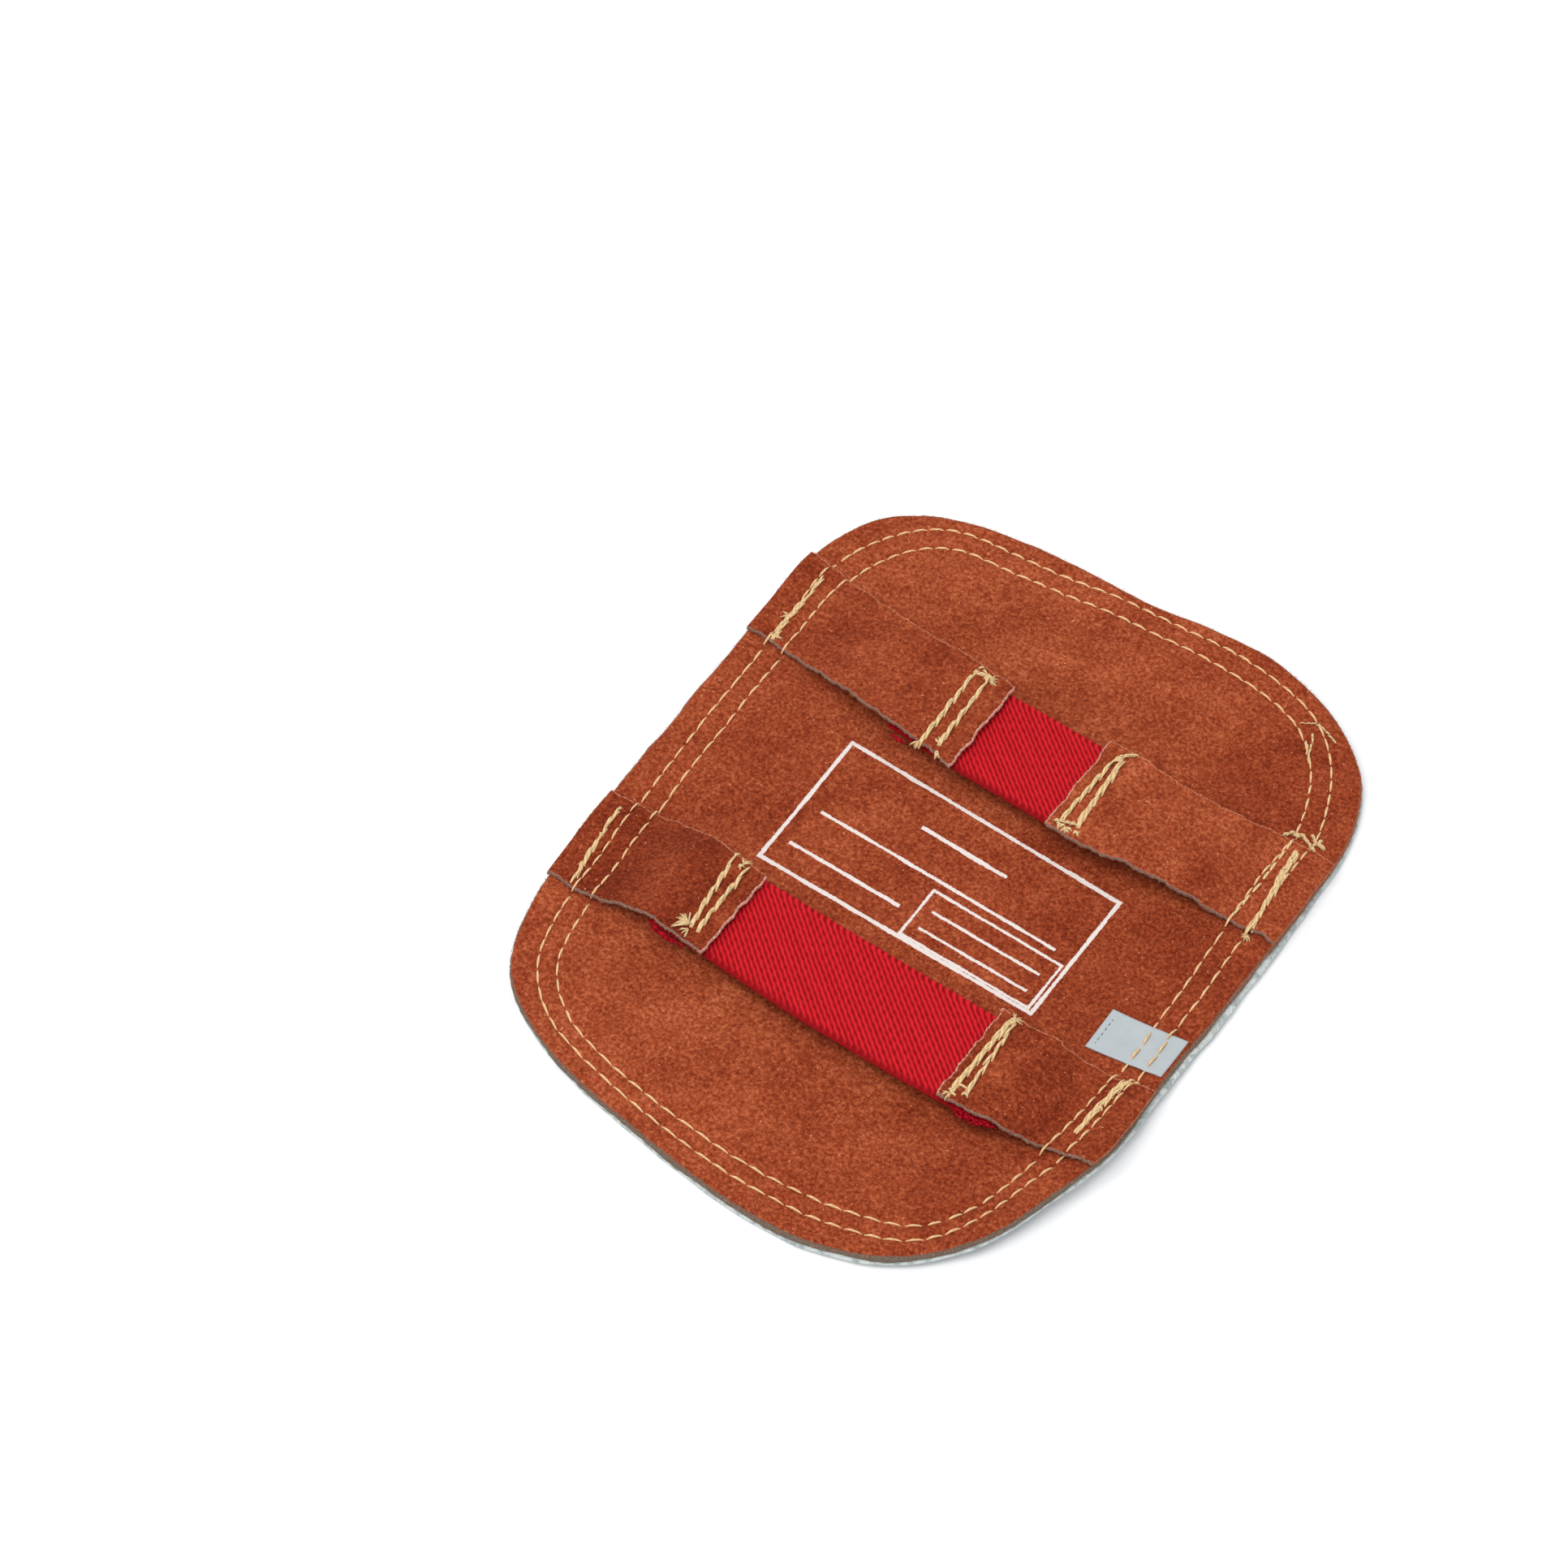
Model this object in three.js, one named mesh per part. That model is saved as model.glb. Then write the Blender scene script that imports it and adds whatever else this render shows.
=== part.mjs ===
// An aluminized hand shield, the pad that a welder wears on the back of a glove.
// An aluminized cloth face and a suede backing lie on each other, and two straps
// cross the suede: each is a suede tab, an elastic web and another suede tab.
// Millimetres, +Z up. X runs along the straps, Y along the pad, and Z = 0 is the
// surface that the aluminized face lies on. The fingers point to +Y.

import * as THREE from 'three';

// Cloth, leather and the gap that two touching pieces keep
const FACE_THICK = 1.2;
const SUEDE_THICK = 2.0;
const TAB_THICK = 1.7;
const WEB_THICK = 1.4;
const LABEL_THICK = 0.5;
const GAP = 0.3;

// How high the underside of each web runs over the suede, where a hand goes in
const HAND_ROOM = 4.6;

// Share of the reach that lies flat on the floor, before the rim starts to lift
const FLAT_SHARE = 0.62;

// The pad is described from its middle: one row for each radial section
// bearing: degrees from +X towards +Y
// reach: from the middle to the cut edge of the suede
// overhang: how far the aluminized face stands out past the suede
// lift: how high the rim curls off the surface
const RIM = [
  { bearing: 0, reach: 81.8, overhang: 1.7, lift: 1.0 },
  { bearing: 10, reach: 83.2, overhang: 1.7, lift: 1.0 },
  { bearing: 20, reach: 87.6, overhang: 1.6, lift: 0.9 },
  { bearing: 30, reach: 95.1, overhang: 1.2, lift: 0.5 },
  { bearing: 40, reach: 106.3, overhang: 0.9, lift: 0.4 },
  { bearing: 50, reach: 114.6, overhang: 0.8, lift: 0.9 },
  { bearing: 60, reach: 115.5, overhang: 0.8, lift: 2.0 },
  { bearing: 70, reach: 112.7, overhang: 0.8, lift: 3.3 },
  { bearing: 80, reach: 108.1, overhang: 0.8, lift: 3.0 },
  { bearing: 90, reach: 105.5, overhang: 0.8, lift: 1.5 },
  { bearing: 100, reach: 107.7, overhang: 0.8, lift: 1.0 },
  { bearing: 110, reach: 111.6, overhang: 0.8, lift: 1.4 },
  { bearing: 120, reach: 115.8, overhang: 0.8, lift: 2.5 },
  { bearing: 130, reach: 115.9, overhang: 0.8, lift: 3.3 },
  { bearing: 140, reach: 106.9, overhang: 0.8, lift: 3.5 },
  { bearing: 150, reach: 94.8, overhang: 0.8, lift: 3.0 },
  { bearing: 160, reach: 87.3, overhang: 0.8, lift: 2.3 },
  { bearing: 170, reach: 83.1, overhang: 0.8, lift: 1.8 },
  { bearing: 180, reach: 81.3, overhang: 0.8, lift: 1.5 },
  { bearing: 190, reach: 82.4, overhang: 0.8, lift: 1.2 },
  { bearing: 200, reach: 85.7, overhang: 0.8, lift: 0.8 },
  { bearing: 210, reach: 91.7, overhang: 0.8, lift: 0.5 },
  { bearing: 220, reach: 100.8, overhang: 0.9, lift: 0.1 },
  { bearing: 230, reach: 108.7, overhang: 0.9, lift: 0.0 },
  { bearing: 240, reach: 109.1, overhang: 1.0, lift: 0.0 },
  { bearing: 250, reach: 107.0, overhang: 1.0, lift: 0.0 },
  { bearing: 260, reach: 105.4, overhang: 1.0, lift: 0.0 },
  { bearing: 270, reach: 106.5, overhang: 0.9, lift: 0.0 },
  { bearing: 280, reach: 109.6, overhang: 0.8, lift: 0.3 },
  { bearing: 290, reach: 112.6, overhang: 0.8, lift: 0.7 },
  { bearing: 300, reach: 112.8, overhang: 0.8, lift: 1.5 },
  { bearing: 310, reach: 108.6, overhang: 0.6, lift: 3.2 },
  { bearing: 320, reach: 100.7, overhang: 0.6, lift: 4.6 },
  { bearing: 330, reach: 94.5, overhang: 0.8, lift: 5.0 },
  { bearing: 340, reach: 86.8, overhang: 1.4, lift: 3.0 },
  { bearing: 350, reach: 82.3, overhang: 1.7, lift: 1.5 },
];

// The tabs, from the pad's side towards its middle: one row for each cross-section
// x: place along the strap, y: middle of the tab, wide: its width
// rise: share of the full height over the suede, 0 where it is sewn down
const TABS = {
  upper_left_tab: [
    { x: -83.0, y: 52.0, wide: 30.3, rise: 0 },
    { x: -72.3, y: 51.3, wide: 29.6, rise: 0 },
    { x: -54.5, y: 47.6, wide: 28.6, rise: 0.62 },
    { x: -40.4, y: 44.8, wide: 28.8, rise: 1 },
    { x: -23.0, y: 43.0, wide: 30.4, rise: 1 },
    { x: -11.6, y: 41.2, wide: 31.0, rise: 1 },
  ],
  upper_right_tab: [
    { x: 83.2, y: 43.9, wide: 29.4, rise: 0 },
    { x: 69.5, y: 43.9, wide: 30.5, rise: 0 },
    { x: 55.3, y: 41.3, wide: 28.8, rise: 0.62 },
    { x: 41.6, y: 39.6, wide: 29.0, rise: 1 },
    { x: 28.7, y: 39.4, wide: 32.0, rise: 1 },
    { x: 18.0, y: 40.2, wide: 31.9, rise: 1 },
  ],
  lower_left_tab: [
    { x: -80.6, y: -40.9, wide: 29.4, rise: 0 },
    { x: -68.5, y: -40.9, wide: 30.2, rise: 0 },
    { x: -57.0, y: -40.8, wide: 29.4, rise: 0.5 },
    { x: -48.5, y: -41.4, wide: 28.6, rise: 1 },
    { x: -40.0, y: -42.2, wide: 28.4, rise: 1 },
    { x: -30.0, y: -43.6, wide: 28.4, rise: 1 },
  ],
  lower_right_tab: [
    { x: 82.2, y: -39.8, wide: 27.4, rise: 0 },
    { x: 70.5, y: -41.2, wide: 26.6, rise: 0 },
    { x: 62.5, y: -42.9, wide: 27.6, rise: 0.5 },
    { x: 56.0, y: -43.8, wide: 28.4, rise: 1 },
    { x: 50.0, y: -44.2, wide: 28.8, rise: 1 },
    { x: 40.0, y: -44.3, wide: 30.0, rise: 1 },
  ],
};

// The elastic webs, whose ends are sewn on under the tabs
const WEBS = {
  upper_elastic: [
    { x: -33.0, y: 43.3, wide: 28.2 },
    { x: -12.2, y: 41.4, wide: 28.5 },
    { x: 16.9, y: 40.3, wide: 28.7 },
    { x: 38.0, y: 39.7, wide: 28.2 },
  ],
  lower_elastic: [
    { x: -47.5, y: -42.2, wide: 27.2 },
    { x: -30.9, y: -42.8, wide: 27.4 },
    { x: 3.1, y: -44.4, wide: 28.7 },
    { x: 38.6, y: -44.9, wide: 28.2 },
    { x: 55.0, y: -44.6, wide: 27.4 },
  ],
};

// The cloth label whose outer end is caught in the right side seam
const LABEL = { inner: 60.0, outer: 80.6, low: -22.4, high: -9.4, turn: 0.12 };

// How finely the curved pieces are divided
const SECTORS = 72;
const RING_SHARES = [FLAT_SHARE, 0.74, 0.84, 0.92, 1];
const STEPS_PER_ROW = 3;
const TAB_LANES = 5;
const WEB_LANES = 1;
const WEB_STEPS_PER_ROW = 3;
const LABEL_STEPS = 3;
const CENTRING_SAMPLES = 720;
const EDGE_PASSES = 6;

const suede = new THREE.MeshStandardMaterial({ color: 0x9e4a2b, roughness: 0.95, metalness: 0 });
const aluminized = new THREE.MeshStandardMaterial({ color: 0xc9d0d3, roughness: 0.3, metalness: 1 });
const redWeb = new THREE.MeshStandardMaterial({ color: 0xb8141f, roughness: 0.85, metalness: 0 });
const whiteTape = new THREE.MeshStandardMaterial({ color: 0xccd6dc, roughness: 0.6, metalness: 0 });

// A smooth curve through four values, at share t between the middle two
function catmullRom(before, from, to, after, t) {
  const slopeFrom = (to - before) / 2;
  const slopeTo = (after - from) / 2;
  const t2 = t * t;
  const t3 = t2 * t;
  return (
    (2 * t3 - 3 * t2 + 1) * from + (t3 - 2 * t2 + t) * slopeFrom +
    (3 * t2 - 2 * t3) * to + (t3 - t2) * slopeTo
  );
}

// One column of RIM at any bearing in radians
function rimValue(column, bearing) {
  const turn = (bearing / (2 * Math.PI)) * RIM.length;
  const row = Math.floor(turn);
  const at = (i) => RIM[(((row + i) % RIM.length) + RIM.length) % RIM.length][column];
  return catmullRom(at(-1), at(0), at(1), at(2), turn - row);
}

// One column of a strap's rows at a place counted in rows, such as 2.5
function stripValue(rows, column, place) {
  const row = Math.min(Math.floor(place), rows.length - 2);
  const at = (i) => rows[Math.min(Math.max(row + i, 0), rows.length - 1)][column];
  return catmullRom(at(-1), at(0), at(1), at(2), place - row);
}

// The rim keeps flat up to FLAT_SHARE of the reach, then curls up to its lift
function floorHeight(x, y) {
  const bearing = Math.atan2(y, x);
  const share = Math.min(Math.hypot(x, y) / rimValue('reach', bearing), 1);
  const curl = Math.max(share - FLAT_SHARE, 0) / (1 - FLAT_SHARE);
  return Math.max(rimValue('lift', bearing), 0) * curl * curl;
}

// The X of a strip's corner, brought in where it would pass the suede's cut edge
function insideEdge(x, y) {
  let limit = Math.abs(x);
  for (let pass = 0; pass < EDGE_PASSES; pass++) {
    const reach = rimValue('reach', Math.atan2(y, Math.sign(x) * limit));
    limit = Math.min(Math.abs(x), Math.sqrt(reach * reach - y * y));
  }
  return Math.sign(x) * limit;
}

const suedeFloor = FACE_THICK + GAP;
const suedeTop = suedeFloor + SUEDE_THICK;
const webFloor = suedeTop + HAND_ROOM;
const fullRise = HAND_ROOM + WEB_THICK + GAP;

function suedeSurface(x, y) {
  return floorHeight(x, y) + suedeTop;
}

// Faces between two rows of vertex numbers that run side by side
function stitchRows(index, first, second, closed) {
  const last = closed ? first.length : first.length - 1;
  for (let i = 0; i < last; i++) {
    const j = (i + 1) % first.length;
    index.push(first[i], second[i], second[j]);
    index.push(first[i], second[j], first[j]);
  }
}

function meshOf(name, points, index, material) {
  const geometry = new THREE.BufferGeometry();
  geometry.setAttribute('position', new THREE.Float32BufferAttribute(points.flat(), 3));
  geometry.setIndex(index);
  geometry.computeVertexNormals();
  const mesh = new THREE.Mesh(geometry, material);
  mesh.name = name;
  return mesh;
}

// A sheet with the pad's outline: rings from the middle to the edge, above and below
function padSheet(name, floor, thickness, overhangShare, material) {
  const points = [];
  const index = [];
  const ringsOf = (height) => {
    const middle = points.push([0, 0, height]) - 1;
    const rings = RING_SHARES.map((share) => {
      const ring = [];
      for (let i = 0; i < SECTORS; i++) {
        const bearing = (i / SECTORS) * 2 * Math.PI;
        const overhang = share === 1 ? rimValue('overhang', bearing) * overhangShare : 0;
        const r = rimValue('reach', bearing) * share + overhang;
        const x = r * Math.cos(bearing);
        const y = r * Math.sin(bearing);
        ring.push(points.push([x, y, floorHeight(x, y) + height]) - 1);
      }
      return ring;
    });
    return { middle, rings };
  };
  const under = ringsOf(floor);
  const over = ringsOf(floor + thickness);
  for (let i = 0; i < SECTORS; i++) {
    const j = (i + 1) % SECTORS;
    index.push(over.middle, over.rings[0][i], over.rings[0][j]);
    index.push(under.middle, under.rings[0][j], under.rings[0][i]);
  }
  for (let k = 0; k + 1 < RING_SHARES.length; k++) {
    stitchRows(index, over.rings[k], over.rings[k + 1], true);
    stitchRows(index, under.rings[k + 1], under.rings[k], true);
  }
  const edge = RING_SHARES.length - 1;
  stitchRows(index, over.rings[edge], under.rings[edge], true);
  return meshOf(name, points, index, material);
}

// A strip of cloth or leather: section(i) gives its cross-section's middle and
// width, and floorAt(x, y, i) the height of its underside there
function strip(name, sections, lanes, section, floorAt, thickness, material) {
  const points = [];
  const index = [];
  const under = [];
  const over = [];
  for (let i = 0; i <= sections; i++) {
    const { x, y, wide } = section(i);
    const low = [];
    const high = [];
    for (let k = 0; k <= lanes; k++) {
      const across = y + wide * (k / lanes - 0.5);
      const along = insideEdge(x, across);
      const z = floorAt(along, across, i);
      low.push(points.push([along, across, z]) - 1);
      high.push(points.push([along, across, z + thickness]) - 1);
    }
    under.push(low);
    over.push(high);
  }
  const runsRight = section(sections).x > section(0).x;
  for (let i = 0; i < sections; i++) {
    const [near, far] = runsRight ? [i, i + 1] : [i + 1, i];
    stitchRows(index, over[near], over[far], false);
    stitchRows(index, under[far], under[near], false);
    const frontLow = [under[near][0], under[far][0]];
    const frontHigh = [over[near][0], over[far][0]];
    stitchRows(index, frontHigh, frontLow, false);
    const backLow = [under[far][lanes], under[near][lanes]];
    const backHigh = [over[far][lanes], over[near][lanes]];
    stitchRows(index, backHigh, backLow, false);
  }
  const [left, right] = runsRight ? [0, sections] : [sections, 0];
  stitchRows(index, under[left], over[left], false);
  stitchRows(index, over[right], under[right], false);
  return meshOf(name, points, index, material);
}

function tab(name) {
  const rows = TABS[name];
  const sections = (rows.length - 1) * STEPS_PER_ROW;
  const valueAt = (column, i) => stripValue(rows, column, i / STEPS_PER_ROW);
  const section = (i) => ({
    x: valueAt('x', i), y: valueAt('y', i), wide: valueAt('wide', i),
  });
  const floorAt = (x, y, i) => {
    const rise = THREE.MathUtils.clamp(valueAt('rise', i), 0, 1);
    return suedeSurface(x, y) * (1 - rise) + suedeTop * rise + GAP + fullRise * rise;
  };
  return strip(name, sections, TAB_LANES, section, floorAt, TAB_THICK, suede);
}

function web(name) {
  const rows = WEBS[name];
  const sections = (rows.length - 1) * WEB_STEPS_PER_ROW;
  const valueAt = (column, i) => stripValue(rows, column, i / WEB_STEPS_PER_ROW);
  const section = (i) => ({
    x: valueAt('x', i), y: valueAt('y', i), wide: valueAt('wide', i),
  });
  return strip(name, sections, WEB_LANES, section, () => webFloor, WEB_THICK, redWeb);
}

function seamLabel() {
  const { inner, outer, low, high, turn } = LABEL;
  const section = (i) => {
    const x = inner + ((outer - inner) * i) / LABEL_STEPS;
    return { x, y: (low + high) / 2 + (x - inner) * turn, wide: high - low };
  };
  const floorAt = (x, y) => suedeSurface(x, y) + GAP;
  return strip('seam_label', LABEL_STEPS, 1, section, floorAt, LABEL_THICK, whiteTape);
}

// The middle of the face's outline, which the origin stands under
function faceMiddle() {
  const box = new THREE.Box2();
  for (let i = 0; i < CENTRING_SAMPLES; i++) {
    const bearing = (i / CENTRING_SAMPLES) * 2 * Math.PI;
    const r = rimValue('reach', bearing) + rimValue('overhang', bearing);
    box.expandByPoint(new THREE.Vector2(r * Math.cos(bearing), r * Math.sin(bearing)));
  }
  return box.getCenter(new THREE.Vector2());
}

const shield = new THREE.Group();
shield.add(padSheet('aluminized_face', 0, FACE_THICK, 1, aluminized));
shield.add(padSheet('leather_backing', suedeFloor, SUEDE_THICK, 0, suede));
for (const name of Object.keys(TABS)) {
  shield.add(tab(name));
}
for (const name of Object.keys(WEBS)) {
  shield.add(web(name));
}
shield.add(seamLabel());

const middle = faceMiddle();
shield.position.set(-middle.x, -middle.y, 0);

export default shield;
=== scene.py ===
# %% [markdown]
# # A heat shield for the back of a welding glove
# The object is a flat pad as long as a hand. Its outer face is aluminized cloth, which
# throws radiant heat back, and its hand side is rust orange suede. Two straps cross the
# suede, each a suede tab, a red elastic web and another suede tab, and a hand goes in
# under them. The pad lies on its shiny face, so the camera sees the suede and the straps.
#
# The imported solids come first. They hold the sizes, and every piece that is made here
# stands where one of them stands.

# %% The frame
import math

import bmesh
import bpy
import numpy as np
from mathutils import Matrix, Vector


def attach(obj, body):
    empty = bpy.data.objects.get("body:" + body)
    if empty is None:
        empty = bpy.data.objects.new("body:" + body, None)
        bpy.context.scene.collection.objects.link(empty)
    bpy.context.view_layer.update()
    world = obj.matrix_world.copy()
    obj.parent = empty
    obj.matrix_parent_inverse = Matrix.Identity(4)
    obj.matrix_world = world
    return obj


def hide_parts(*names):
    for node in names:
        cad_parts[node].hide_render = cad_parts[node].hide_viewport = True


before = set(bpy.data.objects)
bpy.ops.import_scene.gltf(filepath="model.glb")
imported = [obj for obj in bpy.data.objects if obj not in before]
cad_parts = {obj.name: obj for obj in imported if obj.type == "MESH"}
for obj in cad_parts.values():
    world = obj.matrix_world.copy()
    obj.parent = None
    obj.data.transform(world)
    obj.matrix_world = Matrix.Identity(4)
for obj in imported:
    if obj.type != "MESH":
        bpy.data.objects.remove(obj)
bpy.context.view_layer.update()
MM = 0.001
BODY = "root"
print("solids:", sorted(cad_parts))

# %% [markdown]
# ## The camera
# A photograph fixes the camera. The two straps and the pad's outline gave its angle and
# its distance: a long lens, about a metre away, looking down steeply from the pad's right.
# A point on the floor in the middle of the picture says where it looks.

# %% The camera
SENSOR_MM = 36.0
PHOTO_SIDE_PX = 1932
FOCAL_PX = 5000
CAMERA_AZIMUTH = 34.65
CAMERA_ELEVATION = 52.74
CAMERA_DISTANCE = 1.0441
LOOK_AT = Vector((-0.04830, 0.00477, 0.0))


def make_camera():
    azimuth = math.radians(CAMERA_AZIMUTH)
    elevation = math.radians(CAMERA_ELEVATION)
    back = Vector((
        math.sin(azimuth) * math.cos(elevation),
        -math.cos(azimuth) * math.cos(elevation),
        math.sin(elevation),
    ))
    data = bpy.data.cameras.new("photo_camera")
    data.sensor_width = SENSOR_MM
    data.lens = SENSOR_MM * FOCAL_PX / PHOTO_SIDE_PX
    camera = bpy.data.objects.new("photo_camera", data)
    camera.location = LOOK_AT + back * CAMERA_DISTANCE
    camera.rotation_euler = (math.pi / 2 - elevation, 0, azimuth)
    bpy.context.scene.collection.objects.link(camera)
    bpy.context.scene.camera = camera
    return camera


camera = make_camera()
print("camera at", [round(c, 4) for c in camera.location], "lens", round(camera.data.lens, 1))

# %% [markdown]
# ## The pad's outline
# A sewn pad is never quite even, so its outline is a short table: how far the cut edge of
# the suede is from the middle at each bearing, how far the aluminized cloth stands out
# past it, how high the rim curls, and how far in from the edge the two rows of stitches
# run. A smooth curve through the rows gives every bearing between. Sizes are millimetres,
# measured from the same middle as the solids, and become metres when a mesh is made.

# %% The rim's table
RIM = np.array([
    # bearing, reach, overhang, lift, outer row, inner row
    (0, 81.8, 1.7, 1.0, 6.2, 11.0),
    (10, 83.2, 1.7, 1.0, 6.5, 11.6),
    (20, 87.6, 1.6, 0.9, 6.7, 12.0),
    (30, 95.1, 1.2, 0.5, 6.9, 12.5),
    (40, 106.3, 0.9, 0.4, 6.6, 12.4),
    (50, 114.6, 0.8, 0.9, 6.6, 12.4),
    (60, 115.5, 0.8, 2.0, 4.4, 9.9),
    (70, 112.7, 0.8, 3.3, 4.5, 9.8),
    (80, 108.1, 0.8, 3.0, 3.4, 8.8),
    (90, 105.5, 0.8, 1.5, 2.9, 8.5),
    (100, 107.7, 0.8, 1.0, 4.4, 9.9),
    (110, 111.6, 0.8, 1.4, 4.7, 10.2),
    (120, 115.8, 0.8, 2.5, 4.5, 10.3),
    (130, 115.9, 0.8, 3.3, 7.2, 13.2),
    (140, 106.9, 0.8, 3.5, 6.6, 12.5),
    (150, 94.8, 0.8, 3.0, 6.8, 12.2),
    (160, 87.3, 0.8, 2.3, 6.6, 11.9),
    (170, 83.1, 0.8, 1.8, 6.9, 12.2),
    (180, 81.3, 0.8, 1.5, 7.0, 12.3),
    (190, 82.4, 0.8, 1.2, 7.3, 12.9),
    (200, 85.7, 0.8, 0.8, 7.4, 13.0),
    (210, 91.7, 0.8, 0.5, 7.7, 13.0),
    (220, 100.8, 0.9, 0.1, 7.2, 12.0),
    (230, 108.7, 0.9, 0.0, 7.7, 12.3),
    (240, 109.1, 1.0, 0.0, 4.8, 9.3),
    (250, 107.0, 1.0, 0.0, 4.7, 8.8),
    (260, 105.4, 1.0, 0.0, 4.6, 8.7),
    (270, 106.5, 0.9, 0.0, 5.3, 9.8),
    (280, 109.6, 0.8, 0.3, 6.0, 10.8),
    (290, 112.6, 0.8, 0.7, 6.3, 11.2),
    (300, 112.8, 0.8, 1.5, 5.2, 10.0),
    (310, 108.6, 0.6, 3.2, 6.7, 11.2),
    (320, 100.7, 0.6, 4.6, 6.3, 10.9),
    (330, 94.5, 0.8, 5.0, 7.6, 12.6),
    (340, 86.8, 1.4, 3.0, 7.1, 11.9),
    (350, 82.3, 1.7, 1.5, 6.4, 11.1),
])
REACH, OVERHANG, LIFT, OUTER_ROW, INNER_ROW = range(1, 6)
FLAT_SHARE = 0.62
TURN = 2 * math.pi
OUTLINE_SAMPLES = 720


def smooth(before, start, end, after, t):
    """A smooth curve through four values, at share t between the middle two."""
    slope_start = (end - before) / 2
    slope_end = (after - start) / 2
    return (
        (2 * t**3 - 3 * t**2 + 1) * start + (t**3 - 2 * t**2 + t) * slope_start
        + (3 * t**2 - 2 * t**3) * end + (t**3 - t**2) * slope_end
    )


def rim(column, bearing):
    """One column of RIM at bearings in radians."""
    turn = np.asarray(bearing) / TURN * len(RIM)
    row = np.floor(turn).astype(int)
    before, start, end, after = (RIM[(row + i) % len(RIM), column] for i in (-1, 0, 1, 2))
    return smooth(before, start, end, after, turn - row)


def outline_middle():
    """The middle of the face's outline, which the frame's origin stands under."""
    bearing = np.arange(OUTLINE_SAMPLES) / OUTLINE_SAMPLES * TURN
    r = rim(REACH, bearing) + rim(OVERHANG, bearing)
    outline = np.stack([r * np.cos(bearing), r * np.sin(bearing)], 1)
    return (outline.min(0) + outline.max(0)) / 2


MIDDLE = outline_middle()
print("the outline's middle:", MIDDLE.round(3), "mm")

# %% [markdown]
# ## How the layers lie
# The cloth face is at the bottom, then the suede. Both lie flat in the middle and curl up
# a little towards the rim. Worn suede also has soft dents, and a row of stitches pulls a
# shallow valley into it, deepest at each needle hole. All of that is one height for each
# place, so that whatever lies on the suede can ask for it.

# %% Heights of the layers
FACE_THICK = 1.2
SUEDE_THICK = 2.0
GAP = 0.3
SUEDE_FLOOR = FACE_THICK + GAP
SUEDE_TOP = SUEDE_FLOOR + SUEDE_THICK
DENTS = (
    # x, y, depth, radius
    (50, 68, 0.9, 11),
    (30, 84, -0.5, 13),
    (-36, 80, -0.5, 16),
    (-4, 72, 0.5, 12),
    (-50, -2, 0.4, 16),
    (60, 6, -0.4, 13),
    (-30, -82, -0.5, 15),
    (12, -74, 0.5, 14),
    (48, -80, -0.6, 12),
)
SLOPE_STEP = 0.004


def floor_height(x, y):
    """How high the pad's underside curls off the floor."""
    bearing = np.arctan2(y, x)
    share = np.minimum(np.hypot(x, y) / rim(REACH, bearing), 1)
    curl = np.maximum(share - FLAT_SHARE, 0) / (1 - FLAT_SHARE)
    return np.maximum(rim(LIFT, bearing), 0) * curl**2


def inset_factor(bearing):
    """Turns a distance along a radius into one square to the edge."""
    reach = rim(REACH, bearing)
    change = rim(REACH, bearing + SLOPE_STEP) - rim(REACH, bearing - SLOPE_STEP)
    return reach / np.hypot(reach, change / (2 * SLOPE_STEP))


def inset_of(x, y):
    """How far in from the suede's cut edge a point lies."""
    bearing = np.arctan2(y, x)
    return (rim(REACH, bearing) - np.hypot(x, y)) * inset_factor(bearing)


def dents(x, y):
    """How far the worn suede stands up, or below 0 how far it is dented."""
    return -sum(
        depth * np.exp(-((x - at_x)**2 + (y - at_y)**2) / radius**2)
        for at_x, at_y, depth, radius in DENTS
    )


print("suede's top over the middle:", SUEDE_TOP, "mm")
print("the middle is", inset_of(0.1, 0.1).round(1), "mm in from the cut edge")

# %% [markdown]
# ## The two rows of stitches
# The rows were sewn by hand guidance, so they don't keep their distance from the edge, and
# the stitches are shorter where the machine climbs over the straps. Two tables say how far
# each row wanders, and one says how long a stitch is at each bearing. From them each row
# becomes a closed line, which also knows how deep it pulls the leather down at a place.

# %% The rows' tables
ROW_SAMPLES = 2880
ROW_BLUR = 6
VALLEY_WIDE = 1.15
VALLEY_DEEP = 0.30
HOLE_WIDE = 0.9
HOLE_DEEP = 0.44
WANDER_STEP = 5.0
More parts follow.
